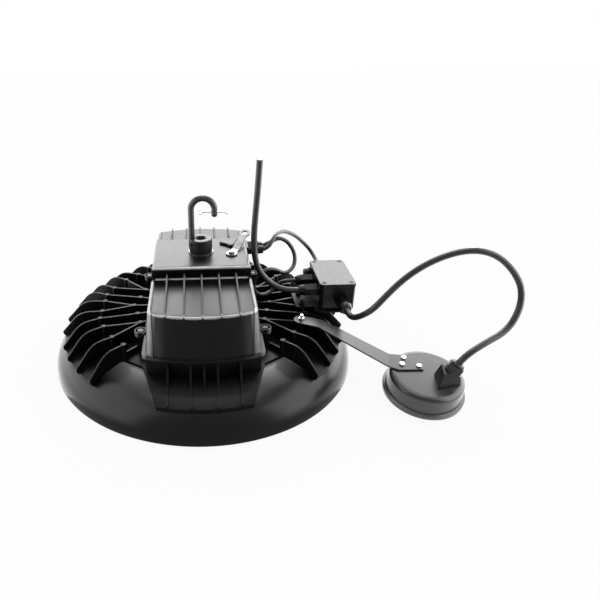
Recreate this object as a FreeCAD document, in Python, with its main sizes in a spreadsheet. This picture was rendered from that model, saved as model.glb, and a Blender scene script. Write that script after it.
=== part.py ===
import FreeCAD, Part

import math
import os
import re

import Sketcher

# High bay light: a spun bell reflector under a die-cast heat sink, with the driver housing on its
# hub, a suspension hook, and on the right a junction box and a sensor on a sheet metal arm.
# Origin: on the lamp's axis in the plane of the reflector's mouth. +Z up, +X towards the sensor,
# -Y to the front. Millimetres and degrees.

V = FreeCAD.Vector
UP = V(0, 0, 1)
doc = FreeCAD.newDocument("high_bay_light")

# Driving dimensions: name, value or formula, what it is.
SIZES = [
    # reflector
    ("rim_radius", 200, "reflector, outer radius at the mouth"),
    ("bell_height", 50, "reflector, height from mouth to flat top"),
    ("bell_wall", 2, "reflector, sheet thickness"),
    ("crown_flat", 110, "reflector, radius of the flat top"),
    ("crown_arc", "=((rim_radius - shoulder_arc - crown_flat)^2 + (shoulder_arc + crown_drop)^2"
     " - shoulder_arc^2) / (2 * crown_drop)", "reflector, radius of the crown in section"),
    ("crown_drop", 6.65, "reflector, fall from its flat top to the top of the shoulder arc"),
    ("shoulder_arc", "=bell_height - 9", "reflector, radius of the shoulder in section"),
    ("eye_radius", "=seat_radius + 3", "reflector, radius of the hole in its top"),
    ("rim_bead", 1.8, "reflector, radius of the hem's rounded edge"),
    ("hem_height", 6, "reflector, height of the folded hem"),
    # heat sink
    ("sink_radius", "=rim_radius - 15", "heat sink, outer radius of the base shell"),
    ("sink_wall", 4, "heat sink, height of the shell above the reflector"),
    ("bell_gap", 0.3, "clearance between the shell and the curved crown"),
    ("seat_radius", 95, "heat sink, radius of the seat for the LED board"),
    ("seat_depth", 3, "heat sink, depth of the seat below the reflector's top"),
    ("cable_hole", 6, "heat sink, radius of the cable hole on the axis"),
    ("fin_wall", 2.5, "heat sink, thickness of a fin"),
    ("fin_top", "=bell_height + 21.5", "heat sink, height of the fins and of the plinth"),
    ("fin_bend", "=rim_radius - 37", "heat sink, radius where the fan fins start to slope"),
    ("fin_reach", "=rim_radius - 12", "heat sink, radius at the tips of the fan fins"),
    ("tip_top", "=tip_foot + 3", "heat sink, height of a fan fin at its tip"),
    ("tip_foot", "=bell_height - 9", "heat sink, underside of a fan fin at its tip"),
    ("pin_radius", 3.2, "heat sink, radius of the ejector bosses on the fins"),
    ("pin_top", "=fin_top + 0.6", "heat sink, height of the ejector bosses"),
    ("boss_a_x", 95.2, "first fan fin, its boss, to the side"),
    ("boss_a_y", 98.9, "first fan fin, its boss, to the front"),
    ("tip_a", 44.8, "first fan fin, azimuth of its tip"),
    ("boss_b_x", 111.1, "second fan fin, its boss, to the side"),
    ("boss_b_y", 80.8, "second fan fin, its boss, to the front"),
    ("tip_b", 35.4, "second fan fin, azimuth of its tip"),
    ("boss_c_x", 125, "third fan fin, its boss, to the side"),
    ("boss_c_y", 54.5, "third fan fin, its boss, to the front"),
    ("tip_c", 26.2, "third fan fin, azimuth of its tip"),
    ("boss_d_x", 132.8, "fourth fan fin, its boss, to the side"),
    ("boss_d_y", 33.4, "fourth fan fin, its boss, to the front"),
    ("tip_d", 17.6, "fourth fan fin, azimuth of its tip"),
    ("boss_e_x", 132.6, "fifth fan fin, its boss, to the side"),
    ("boss_e_y", 14.1, "fifth fan fin, its boss, to the front"),
    ("tip_e", 5.3, "fifth fan fin, azimuth of its tip"),
    ("fork_a_x", 79.3, "where fins two and three join, to the side"),
    ("fork_a_y", 46.3, "where fins two and three join, to the front"),
    ("fork_b_x", 84.9, "boss on the fourth fin's root, to the side"),
    ("fork_b_y", 23.1, "boss on the fourth fin's root, to the front"),
    ("fork_c_x", 91.7, "where the two middle fins join"),
    ("tip_a_rear", 39.3, "rear first fan fin, azimuth of its tip"),
    ("boss_f_x", 80.5, "rear sixth fan fin, its boss, to the side"),
    ("boss_f_y", 122.4, "rear sixth fan fin, its boss, to the back"),
    ("tip_f", 50.8, "rear sixth fan fin, azimuth of its tip"),
    ("start_g_x", 62, "rear seventh fan fin, its start, to the side"),
    ("start_g_y", 131, "rear seventh fan fin, its start, to the back"),
    ("tip_g", 60, "rear seventh fan fin, azimuth of its tip"),
    ("knee_round", 13, "heat sink, length of the rounding where the fins start to slope"),
    ("low_rib_top", "=bell_height + 10", "height of the low rib from the ear post to the notch"),
    ("notch_apex_x", 102, "notch, its inner corner, to the side"),
    ("notch_apex_y", 97, "notch, its inner corner, to the front"),
    ("notch_tail_x", 72, "notch, its corner beside the tail, to the side"),
    ("notch_tail_y", 118, "notch, its corner beside the tail, to the front"),
    ("notch_fan", 47.8, "notch, direction of its edge beside the fan fins"),
    ("notch_slant", 17, "notch, lean of its edge beside the tail"),
    ("tail_step", 15.3, "tail, offset of the inner pair of fins"),
    ("tail_outer", 41.5, "tail, offset of the outer pair of fins"),
    ("tail_bend", "=rim_radius - 57", "tail, radius where its fins start to slope"),
    ("tail_reach", "=rim_radius - 37", "tail, radius at the tips of its fins"),
    ("tail_tip", "=bell_height - 2", "tail, height of its fins at their tips"),
    ("tail_rib", 2, "tail, height of the low ribs on the shell"),
    # driver housing
    ("flange_half", 71, "housing flange, half width"),
    ("flange_front", 146.5, "housing flange, reach to the front"),
    ("flange_bow", 180, "housing flange, radius of its bowed ends"),
    ("flange_corner", 8, "housing flange, corner radius"),
    ("flange_wall", 4, "housing flange, thickness"),
    ("plinth_inset", 4, "plinth, inset from the flange"),
    ("plinth_wall", 6, "plinth, wall"),
    ("gasket_wall", 1, "housing gasket, thickness"),
    ("housing_top", "=fin_top + 75.5", "housing, height of its top plate"),
    ("housing_wall", 3.6, "housing, wall"),
    ("foot_half", 67, "housing, half width at the flange"),
    ("foot_front", 145.3, "housing, reach to the front at the flange"),
    ("foot_bow", 175, "housing, radius of its bowed ends at the flange"),
    ("foot_corner", 14, "housing, corner radius at the flange"),
    ("head_half", 60, "housing, half width at its top"),
    ("head_front", 136.9, "housing, reach to the front, carried up to its top"),
    ("head_bow", 165, "housing, radius of its bowed ends at the top"),
    ("head_corner", 13, "housing, corner radius at its top"),
    ("plate_half", 49, "top plate, reach to the front with its lip"),
    ("lip_wall", 4.5, "top plate, thickness of its lip"),
    ("lip_overhang", 1.5, "top plate, overhang of its lip"),
    ("shoulder_high", "=housing_top - 15.5", "shoulder, height at the riser"),
    ("shoulder_low", "=shoulder_high - 2.75", "shoulder, height at its front edge"),
    ("shoulder_reach", 139.3, "shoulder, reach of its front edge"),
    ("rib_pitch", 20.8, "shoulder ribs, spacing"),
    ("rib_wall", 2, "shoulder ribs, thickness"),
    ("rib_top", "=housing_top - 6", "shoulder ribs, height at the riser"),
    ("rib_end", 1.2, "shoulder ribs, height above the shoulder's front edge"),
    ("edge_round", 5, "housing, rounding of the shoulder's outer edges"),
    ("root_round", 3, "housing, rounding between riser and shoulder"),
    ("lip_round", 4, "top plate, rounding of its edge"),
    ("panel_half", 57, "housing, half width of the sunk panel between the side rails"),
    ("panel_depth", 1.2, "housing, depth of the sunk panel"),
    ("ear_x", 76, "ears, to the side"),
    ("ear_y", 79, "ears, to the front"),
    ("ear_radius", 7.5, "ears, radius"),
    ("ear_rim", 2.6, "ears, height of the rim round the screw head"),
    ("ear_rim_wall", 1.3, "ears, thickness of that rim"),
    ("post_radius", 6, "ear posts on the heat sink, radius"),
    # fasteners
    ("screw", 2, "small screws, thread radius"),
    ("screw_head", 3.7, "small screws, head radius"),
    ("head_height", 2.5, "small screws, head height"),
    ("thread_gap", 0.1, "clearance round a thread"),
    ("hole_gap", 0.25, "clearance round a screw in a plain hole"),
    ("ear_screw_length", 17, "housing screws, length under the head"),
    # light engine
    ("board_wall", 2, "LED board, thickness"),
    ("board_edge", 1, "LED board, inset from the edge of its seat"),
    ("chip_side", 5, "LED, side"),
    ("chip_height", 0.7, "LED, height"),
    ("chip_pitch", 20, "LED rings, spacing"),
    ("board_screw_circle", 72, "LED board screws, pitch circle radius"),
    ("board_screw", 1.5, "LED board screws, thread radius"),
    ("lens_gasket", 1, "lens gasket, thickness"),
    ("lens_radius", "=seat_radius + 13", "lens, outer radius of its flange"),
    ("lens_flange", 2, "lens, thickness of its flange and wall"),
    ("lens_depth", 11, "lens, depth of the dish below its flange"),
    ("ring_wall", 2, "lens ring, thickness"),
    ("ring_radius", "=lens_radius + 1.5", "lens ring, outer radius"),
    ("ring_bore", "=seat_radius + 3.7", "lens ring and gasket, inner radius"),
    ("ring_screw_circle", "=seat_radius + 8.5", "lens ring screws, pitch circle radius"),
    ("ring_boss", 4.5, "heat sink, radius of the bosses over the ring screws"),
    ("ring_boss_top", "=bell_height + 8", "heat sink, height of those bosses"),
    ("ring_screw_length", 13, "lens ring screws, length under the head"),
    # driver
    ("driver_half_x", 40, "LED driver, half width"),
    ("driver_half_y", 90, "LED driver, half length"),
    ("driver_height", 38, "LED driver, height"),
    ("driver_tab", 14, "LED driver, length of its mounting tabs"),
    ("driver_tab_wall", 3, "LED driver, thickness of its tabs"),
    ("standoff_height", 6, "standoffs, height"),
    ("standoff_radius", 4, "standoffs, radius"),
    ("standoff_x", 28, "standoffs, to the side"),
    # suspension
    ("washer_radius", 16, "hook washer, radius"),
    ("washer_wall", 1.5, "hook washer, thickness"),
    ("hub_radius", 14.6, "hook block, radius"),
    ("hub_height", 17.5, "hook block, height"),
    ("hub_well", 6, "hook block, radius of the well for its bolt"),
    ("hub_floor", 6, "hook block, thickness below the well"),
    ("bolt_radius", 4, "hook bolt, thread radius"),
    ("bolt_head", 5.6, "hook bolt, head radius"),
    ("bolt_head_height", 6, "hook bolt, head height"),
    ("bolt_socket", 2.6, "hook bolt, radius of its socket"),
    ("nut_radius", 7, "hook nut, radius across its corners"),
    ("nut_height", 6.5, "hook nut, height"),
    ("wire_radius", 4, "hook, radius of its bar"),
    ("shank_offset", 11.3, "hook, offset of its shank from the axis"),
    ("shank_depth", 12, "hook, length of the shank in its block"),
    ("bowl_radius", 14.6, "hook, radius of its bowl to the bar's middle"),
    ("bowl_height", "=housing_top + 56.4", "hook, height of the bowl's middle"),
    ("tip_drop", 6, "hook, straight length below the bowl at its tip"),
    ("split_height", "=bowl_height - 3.4", "split pin, height"),
    ("split_radius", 1, "split pin, radius"),
    ("split_out", 13, "split pin, length outside the hook"),
    ("split_in", 12, "split pin, length inside the hook"),
    ("lug_x", 39, "safety lug, screw to the side"),
    ("lug_y", -11, "safety lug, screw to the front"),
    ("lug_wall", 2, "safety lug, thickness"),
    ("lug_eye", 7.5, "safety lug, radius of its ends"),
    ("lug_hole", 4, "safety lug, radius of its free hole"),
    ("lug_flat", 14, "safety lug, flat length from the screw to its bend"),
    ("lug_run", 35, "safety lug, run from its bend to the free hole"),
    ("lug_rise", 18, "safety lug, slope"),
    ("lug_turn", 65, "safety lug, direction"),
    ("clip_radius", 1.7, "safety clip, wire radius"),
    # junction box
    ("box_left", 152, "junction box, its left face"),
    ("box_length", 46, "junction box, width"),
    ("box_front", -31, "junction box, its front face"),
    ("box_depth", 78, "junction box, depth"),
    ("box_top", "=pin_top + 37.9", "junction box, height of its lid"),
    ("box_wall", 2.5, "junction box, wall"),
    ("box_corner", 5, "junction box, corner radius"),
    ("lid_wall", 4, "junction box lid, thickness"),
    ("lid_gasket", 1, "lid gasket, thickness"),
    ("lid_overhang", 0.6, "junction box lid, overhang"),
    ("bracket_wall", 2, "brackets, sheet thickness"),
    ("tongue_half", 22, "box bracket, half width of its tongue"),
    ("tongue_end", 124, "box bracket, where its tongue ends"),
    ("bracket_left", 148, "box bracket, left edge of its pad"),
    ("bracket_right", 192, "box bracket, right edge of its pad"),
    ("bracket_front", -36, "box bracket, front edge of its pad"),
    ("bracket_back", 44, "box bracket, back edge of its pad"),
    # glands
    ("gland_length", 24, "box glands, length outside the wall"),
    ("gland_thread", 6.2, "box glands, thread radius"),
    ("gland_nut", 8.6, "box glands, nut radius across its corners"),
    ("gland_grip", 7, "glands, length of the thread through the wall"),
    ("wide_thread", 7, "sensor cord's box gland, thread radius"),
    ("wide_nut", 9.6, "sensor cord's box gland, nut radius"),
    ("driver_gland_length", 20, "driver glands, length outside their pad"),
    ("driver_gland_thread", 4.9, "driver glands, thread radius"),
    ("driver_gland_nut", 6.6, "driver glands, nut radius across its corners"),
    ("pad_x", 63.5, "driver glands, face of their pad"),
    ("pad_z", "=housing_top - 10.5", "driver glands, height"),
    ("gland_a_y", 28, "front driver gland, place"),
    ("gland_b_y", 41.5, "rear driver gland, place"),
    ("supply_gland_y", -12, "supply cord's gland, place"),
    ("lead_gland_y", 18, "driver lead's gland, place"),
    ("side_gland_z", "=box_top - 16", "glands on the box's left and rear, height"),
    ("front_gland_x", 181, "sensor cord's gland, place"),
    ("front_gland_z", "=box_top - 24", "sensor cord's gland, height"),
    ("rear_gland_x", 170, "dimming lead's gland, place"),
    ("plug_y", 38, "blanking plug, place"),
    ("plug_z", "=box_top - 14", "blanking plug, height"),
    ("plug_radius", 6, "blanking plug, radius"),
    ("plug_length", 9, "blanking plug, length outside the wall"),
    # cords
    ("supply_radius", 4, "supply cord, radius"),
    ("lead_radius", 2.75, "driver and dimming leads, radius"),
    ("sensor_cord_radius", 3.75, "sensor cord, radius"),
    # sensor
    ("sensor_x", 261, "sensor, middle of its top, to the side"),
    ("sensor_y", -134, "sensor, middle of its top, to the front"),
    ("sensor_z", 42, "sensor, middle of its top, height"),
    ("sensor_tilt", 9.3, "sensor, lean to the front"),
    ("sensor_radius", 42.5, "sensor, radius of its top"),
    ("sensor_foot", 47, "sensor, radius of its rim"),
    ("sensor_depth", 27, "sensor, depth"),
    ("sensor_edge", 6, "sensor, radius of its top edge"),
    ("sensor_wall", 2.5, "sensor, wall"),
    ("sensor_rim", 4, "sensor, height of its rim"),
    ("sensor_boss", 8, "sensor, length of the bosses under its top"),
    ("sensor_board_radius", 36, "sensor board, radius"),
    ("sensor_board_wall", 1.6, "sensor board, thickness"),
    ("cable_box_height", 18, "sensor cable box, height"),
    ("sensor_gland_length", 12, "sensor gland, length outside its box"),
    ("sensor_gland_thread", 5.6, "sensor gland, thread radius"),
    ("sensor_gland_nut", 10, "sensor gland, nut radius across its corners"),
    ("arm_half", 9.5, "sensor arm, half width"),
    ("arm_flat", 25, "sensor arm, length from its bolt to its bend"),
    ("arm_turn", -28, "sensor arm, direction"),
]

sheet = doc.addObject("Spreadsheet::Sheet", "sizes")
for row, (alias, number, note) in enumerate(SIZES, start=1):
    sheet.set(f"A{row}", note)
    sheet.setAlias(f"B{row}", alias)
for row, (alias, number, note) in enumerate(SIZES, start=1):
    sheet.set(f"B{row}", str(number))
doc.recompute()

ALIAS = re.compile(r"\b(" + "|".join(alias for alias, number, note in SIZES) + r")\b")


def bound(expression):
    """An expression of size names, written with the sheet's own name for each."""
    return ALIAS.sub(r"sizes.\1", expression)


def size(expression):
    """The present value of an expression of size names."""
    return float(sheet.evalExpression(expression))


# ---------------------------------------------------------------- making pieces

nodes = []


def node(label, obj):
    """Marks an object as a finished sub-part, written to parts/LABEL.step."""
    obj.Label = label
    nodes.append(obj)
    return obj


def feature(label, shape):
    """A finished sub-part whose shape is worked out in code."""
    obj = doc.addObject("Part::Feature", label)
    obj.Shape = shape
    return node(label, obj)


def place(obj, at):
    for axis, expression in zip("xyz", at):
        obj.setExpression(f"Placement.Base.{axis}", bound(expression))
    return obj


def rod(name, radius, height, at=("0", "0", "0"), along=UP):
    """A cylinder that starts at a point and runs along a direction."""
    obj = doc.addObject("Part::Cylinder", name)
    obj.setExpression("Radius", bound(radius))
    obj.setExpression("Height", bound(height))
    obj.Placement = FreeCAD.Placement(V(), FreeCAD.Rotation(UP, along))
    return place(obj, at)


def slab(name, corner, length, width, height):
    """A box from its lowest corner."""
    obj = doc.addObject("Part::Box", name)
    for side, expression in (("Length", length), ("Width", width), ("Height", height)):
        obj.setExpression(side, bound(expression))
    return place(obj, corner)


def fuse(name, *shapes):
    obj = doc.addObject("Part::MultiFuse", name)
    obj.Shapes = list(shapes)
    return obj


def cut(name, base, *tools):
    obj = doc.addObject("Part::Cut", name)
    obj.Base = base
    obj.Tool = tools[0] if len(tools) == 1 else fuse(name + "_tools", *tools)
    return obj


def group(name, *shapes):
    obj = doc.addObject("Part::Compound", name)
    obj.Links = list(shapes)
    return obj


def draw(sketch, corners):
    """A closed outline. A corner is (x, y), or (x, y, radius) where the edge that arrives there is
    an arc: a positive radius turns left on the way."""
    points = [(size(corner[0]), size(corner[1])) for corner in corners]
    ends = []
    for index, corner in enumerate(corners):
        x0, y0 = points[index - 1]
        x1, y1 = points[index]
        if len(corner) == 2:
            edge = sketch.addGeometry(Part.LineSegment(V(x0, y0, 0), V(x1, y1, 0)), False)
            ends.append((edge, 1, 2))
            continue
        radius = size(corner[2])
        chord = math.hypot(x1 - x0, y1 - y0)
        side = math.copysign(math.sqrt(radius ** 2 - chord ** 2 / 4), radius) / chord
        cx = (x0 + x1) / 2 - side * (y1 - y0)
        cy = (y0 + y1) / 2 + side * (x1 - x0)
        circle = Part.Circle(V(cx, cy, 0), UP, abs(radius))
        start = math.atan2(y0 - cy, x0 - cx)
        end = math.atan2(y1 - cy, x1 - cx)
        left = radius > 0
        arc = Part.ArcOfCircle(circle, start, end) if left else Part.ArcOfCircle(circle, end, start)
        edge = sketch.addGeometry(arc, False)
        ends.append((edge, 1, 2) if left else (edge, 2, 1))
        number = sketch.addConstraint(Sketcher.Constraint("Radius", edge, abs(radius)))
        sketch.setExpression(f"Constraints[{number}]", bound(f"abs({corner[2]})"))
    for index, corner in enumerate(corners):
        edge, start, end = ends[index]
        following = ends[(index + 1) % len(ends)]
        sketch.addConstraint(Sketcher.Constraint("Coincident", edge, end, following[0], following[1]))
        for kind, value, expression in zip(("DistanceX", "DistanceY"), points[index], corner):
            number = sketch.addConstraint(Sketcher.Constraint(kind, edge, end, value))
            sketch.setExpression(f"Constraints[{number}]", bound(expression))


def sketched_body(name, plane, corners):
    body = doc.addObject("PartDesign::Body", name)
    sketch = body.newObject("Sketcher::SketchObject", name + "_outline")
    base = [item for item in body.Origin.OriginFeatures if item.Role == plane][0]
    sketch.AttachmentSupport = [(base, "")]
    sketch.MapMode = "FlatFace"
    draw(sketch, corners)
    return body, sketch


def turned(name, corners):
    """A body turned about the lamp's axis from an outline of (radius, height) corners."""
    body, sketch = sketched_body(name, "XZ_Plane", corners)
    turn = body.newObject("PartDesign::Revolution", name + "_turn")
    turn.Profile = sketch
    turn.ReferenceAxis = (sketch, ["V_Axis"])
    turn.Angle = 360
    return body


def circle_of(count, radius, first="0"):
    """Places round the axis, as a pair of expressions each."""
    angles = [f"({first} + {step} * 360 / {count})" for step in range(count)]
    return [(f"{radius} * cos({angle})", f"{radius} * sin({angle})") for angle in angles]


def corners_of(x, y):
    """The four places at plus or minus x and y."""
    return [(f"({sx} * {x})", f"({sy} * {y})") for sx in (1, -1) for sy in (1, -1)]


def rods(name, places, radius, bottom, height):
    """A set of equal upright cylinders, as one object."""
    made = [rod(f"{name}_{n}", radius, height, (x, y, bottom)) for n, (x, y) in enumerate(places)]
    return fuse(name, *made)


def screws(name, places, seat, length, down, radius="screw", head="screw_head"):
    """A set of equal screws: heads on a seat, threads down from it, or up from it."""
    made = []
    for n, (x, y) in enumerate(places):
        bottom = f"{seat} - {length}" if down else f"{seat} - head_height"
        height = f"{length} + head_height"
        head_bottom = seat if down else f"{seat} - head_height"
        shank = rod(f"{name}_shank_{n}", radius, height, (x, y, bottom))
        top = rod(f"{name}_head_{n}", head, "head_height", (x, y, head_bottom))
        made.append(fuse(f"{name}_{n}", top, shank))
    return node(name, group(name, *made))


def frame_at(at, along):
    """A placement at a point, with its Z axis along a direction."""
    return FreeCAD.Placement(V(*at), FreeCAD.Rotation(UP, V(*along)))


def turned_shape(corners):
    """A solid turned about Z from (radius, height) corners."""
    face = Part.Face(Part.makePolygon([V(r, 0, z) for r, z in corners + corners[:1]]))
    return face.revolve(V(), UP, 360)


def prism(points, depth):
    """A solid from a flat outline, pushed along a vector."""
    return Part.Face(Part.makePolygon(points + points[:1])).extrude(depth)


def hexagon(radius, bottom, top):
    corners = [V(radius * math.cos(math.radians(60 * k)), radius * math.sin(math.radians(60 * k)), bottom)
               for k in range(6)]
    return prism(corners, V(0, 0, top - bottom))


# ---------------------------------------------------------------- reflector

SHOULDER_R = "(rim_radius - shoulder_arc)"
SHOULDER_Z = ("(bell_height - crown_arc + sqrt((crown_arc - shoulder_arc)^2"
              " - (rim_radius - shoulder_arc - crown_flat)^2))")
BEND_SIN = "((rim_radius - shoulder_arc - crown_flat) / (crown_arc - shoulder_arc))"
BEND_COS = f"sqrt(1 - {BEND_SIN}^2)"


def bend_corner(offset):
    """Where the crown runs into the shoulder, on a surface offset outwards from the reflector."""
    return (f"crown_flat + (crown_arc + {offset}) * {BEND_SIN}",
            f"bell_height - crown_arc + (crown_arc + {offset}) * {BEND_COS}")


def shoulder_height(offset, radius):
    """Height of the offset shoulder at a radius, as an expression."""
    return f"{SHOULDER_Z} + sqrt((shoulder_arc + {offset})^2 - ({radius} - {SHOULDER_R})^2)"


def bell_height_at(radius, offset):
    """Height of the surface offset outwards from the reflector, at a radius, as a number."""
    if radius <= size("crown_flat"):
        return size("bell_height") + offset
    if radius <= size(bend_corner(offset)[0]):
        across = radius - size("crown_flat")
        return size("bell_height - crown_arc") + math.sqrt(size(f"crown_arc + {offset}") ** 2 - across ** 2)
    return size(shoulder_height(offset, radius))


def make_reflector():
    hem_top_r = f"{SHOULDER_R} + sqrt((shoulder_arc - bell_wall)^2 - (hem_height - {SHOULDER_Z})^2)"
    bell = turned("bell", [
        ("eye_radius", "bell_height - bell_wall"),
        ("eye_radius", "bell_height"),
        ("crown_flat", "bell_height"),
        bend_corner("0") + ("-crown_arc",),
        ("rim_radius", SHOULDER_Z, "-shoulder_arc"),
        ("rim_radius", "rim_bead"),
        ("rim_radius - rim_bead", "0", "-rim_bead"),
        ("rim_radius - 2 * rim_bead", "rim_bead", "-rim_bead"),
        ("rim_radius - 2 * rim_bead", "hem_height - rim_bead"),
        (hem_top_r, "hem_height"),
        bend_corner("(0 - bell_wall)") + ("shoulder_arc - bell_wall",),
        ("crown_flat", "bell_height - bell_wall", "crown_arc - bell_wall"),
    ])
    holes = rods("bell_holes", RING_PLACES, "screw + hole_gap", "bell_height - 2 * bell_wall",
                 "3 * bell_wall")
    node("reflector", cut("reflector", bell, holes))


# ---------------------------------------------------------------- heat sink

RING_PLACES = circle_of(8, "ring_screw_circle", "22.5")
BOARD_PLACES = circle_of(6, "board_screw_circle")
EAR_PLACES = corners_of("ear_x", "ear_y")
STANDOFF_Y = "(driver_half_y + driver_tab / 2)"
STANDOFF_PLACES = corners_of("standoff_x", STANDOFF_Y)
SEAT_FLOOR = "(bell_height - seat_depth)"
SINK_TOP = "(bell_height + sink_wall)"


def upright(start, end, outline, wall):
    """A vertical plate along a line in plan. Its outline is (distance along the line, height)."""
    way = V(end[0] - start[0], end[1] - start[1], 0)
    way.normalize()
    across = V(-way.y, way.x, 0) * wall
    points = [V(start[0], start[1], z) + way * along - across / 2 for along, z in outline]
    return prism(points, across)


def along_to_radius(start, end, radius):
    """Distance from the start, along the line, to a radius about the lamp's axis."""
    length = math.dist(start, end)
    ux, uy = (end[0] - start[0]) / length, (end[1] - start[1]) / length
    dot = start[0] * ux + start[1] * uy
    return -dot + math.sqrt(dot ** 2 + radius ** 2 - start[0] ** 2 - start[1] ** 2)


def shell_middle(radius):
    return (bell_height_at(radius, size("bell_gap")) + bell_height_at(radius, size("sink_wall"))) / 2


def knee(along, top, end):
    """The rounded corner of a fin's outline, where its level top starts to slope to its end."""
    reach = size("knee_round")
    slope = math.dist((along, top), end)
    into = (along - reach, top)
    out = (along + (end[0] - along) * reach / slope, top + (end[1] - top) * reach / slope)
    points = []
    for share in (0, 0.25, 0.5, 0.75, 1):
        weights = ((1 - share) ** 2, 2 * share * (1 - share), share ** 2)
        points.append(tuple(sum(w * p[axis] for w, p in zip(weights, (into, (along, top), out)))
                            for axis in (0, 1)))
    return points


def fan_fin(boss, tip):
    """A fin that is level from its boss out to the bend, then slopes to its tip."""
    inner = math.hypot(*boss)
    bend, reach, edge = size("fin_bend"), size("fin_reach"), size("sink_radius")
    end = (along_to_radius(boss, tip, reach), size("tip_top"))
    outline = [(0, size("fin_top")), *knee(along_to_radius(boss, tip, bend), size("fin_top"), end), end,
               (end[0], size("tip_foot"))]
    for share in (1, 0.8, 0.6, 0.4, 0.2, 0):
        radius = inner + (edge - inner) * share
        outline.append((along_to_radius(boss, tip, radius), shell_middle(radius)))
    return upright(boss, tip, outline, size("fin_wall"))


def root_fin(start, end, top):
    """A level fin between two places on the hub."""
    bottom = size(f"{SINK_TOP} - sink_wall / 2")
    length = math.dist(start, end)
    return upright(start, end, [(0, bottom), (length, bottom), (length, top), (0, top)], size("fin_wall"))


def post(x, y, radius, top):
    bottom = shell_middle(math.hypot(x, y))
    return Part.makeCylinder(radius, top - bottom, V(x, y, bottom))


def mirrored(shapes, normal):
    """The shapes and their mirror images about a vertical plane through the axis."""
    return shapes + [shape.mirror(V(), normal) for shape in shapes]


SIDEWAYS = V(1, 0, 0)
ENDWAYS = V(0, 1, 0)


def tip_at(azimuth):
    """The tip of a fan fin, in plan."""
    angle = math.radians(size(azimuth))
    return (size("fin_reach") * math.cos(angle), size("fin_reach") * math.sin(angle))


def boss_at(fin):
    return (size(f"boss_{fin}_x"), size(f"boss_{fin}_y"))


def plinth_side():
    """The middle of the plinth's side wall, to the side."""
    return size("flange_half - plinth_inset - plinth_wall / 2")


def fan_quarter():
    """Fins and bosses that all four quarters of the heat sink share, for x and y above zero."""
    top, pin_top, pin = size("fin_top"), size("pin_top"), size("pin_radius")
    fork_a = (size("fork_a_x"), size("fork_a_y"))
    fork_b = (size("fork_b_x"), size("fork_b_y"))
    fork_c = (size("fork_c_x"), 0.0)
    wall_x = plinth_side()
    made = []
    for fin in "bcde":
        made.append(fan_fin(boss_at(fin), tip_at(f"tip_{fin}")))
        made.append(post(*boss_at(fin), pin, pin_top))
    made.append(root_fin(boss_at("b"), fork_a, top))
    made.append(root_fin(boss_at("c"), fork_a, top))
    made.append(root_fin(fork_a, (wall_x, fork_a[1] - 6), top))
    made.append(root_fin(boss_at("d"), fork_b, top))
    made.append(root_fin(fork_b, (wall_x, fork_b[1] - 5), top))
    made.append(root_fin(boss_at("e"), fork_c, top))
    made.append(post(*fork_a, pin, pin_top))
    made.append(post(*fork_b, pin, pin_top))
    return made


def front_corner():
    """The first fan fin of a front quarter and its low rib, made for x and y above zero."""
    boss = boss_at("a")
    ear = (size("ear_x"), size("ear_y"))
    return [fan_fin(boss, tip_at("tip_a")), post(*boss, size("pin_radius"), size("pin_top")),
            root_fin(boss, ear, size("low_rib_top"))]


def rear_corner():
    """The last three fan fins of a rear quarter, where the shell has no notch."""
    top, pin_top, pin = size("fin_top"), size("pin_top"), size("pin_radius")
    first, sixth = boss_at("a"), boss_at("f")
    wall_x = plinth_side()
    start = (size("start_g_x"), size("start_g_y"))
    return [fan_fin(first, tip_at("tip_a_rear")), post(*first, pin, pin_top),
            root_fin(first, (wall_x, first[1] - 13), top),
            fan_fin(sixth, tip_at("tip_f")), post(*sixth, pin, pin_top),
            root_fin(sixth, (wall_x, sixth[1] - 10), top), fan_fin(start, tip_at("tip_g"))]


def fan_middle():
    """The single fin and boss on the middle line of one fan."""
    fork = (size("fork_c_x"), 0.0)
    return [post(*fork, size("pin_radius"), size("pin_top")),
            root_fin(fork, (plinth_side(), 0.0), size("fin_top"))]


def tail_fins():
    """Fins and low ribs of the front tail."""
    made = []
    start_y = size("flange_front - plinth_inset - plinth_wall")
    bend, reach, edge = size("tail_bend"), size("tail_reach"), size("sink_radius")
    for offset in ("-tail_outer", "-tail_step", "0", "tail_step", "tail_outer"):
        x = size(f"0 + {offset}")
        start = (x, -(start_y - x ** 2 / size("2 * flange_bow")))
        end = (x, -edge)
        tip = (along_to_radius(start, end, reach), size("tail_tip"))
        outline = [(0, size("fin_top")), (along_to_radius(start, end, bend), size("fin_top")), tip,
                   (tip[0], shell_middle(reach)),
                   (0, shell_middle(math.hypot(*start)))]
        made.append(upright(start, end, outline, size("fin_wall")))
        if offset == "0":
            continue
        radii = [reach - 2, (reach + edge) / 2, edge]
        low = [(along_to_radius(start, end, r), shell_middle(r)) for r in radii]
        high = [(along_to_radius(start, end, r), bell_height_at(r, size("sink_wall + tail_rib")))
                for r in reversed(radii)]
        made.append(upright(start, end, low + high, size("fin_wall")))
    return made


def notch():
    """The prism cut from the shell between a front quarter's fins and the tail, for plus x and y."""
    far = 100
    apex = V(size("notch_apex_x"), size("notch_apex_y"), 0)
    tail = V(size("notch_tail_x"), size("notch_tail_y"), 0)
    fan = math.radians(size("notch_fan"))
    slant = math.radians(size("notch_slant"))
    outer_fan = apex + V(math.cos(fan), math.sin(fan), 0) * far
    outer_tail = tail + V(-math.sin(slant), math.cos(slant), 0) * far
    return prism([apex, outer_fan, outer_tail, tail], V(0, 0, 2 * size("bell_height")))


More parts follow.
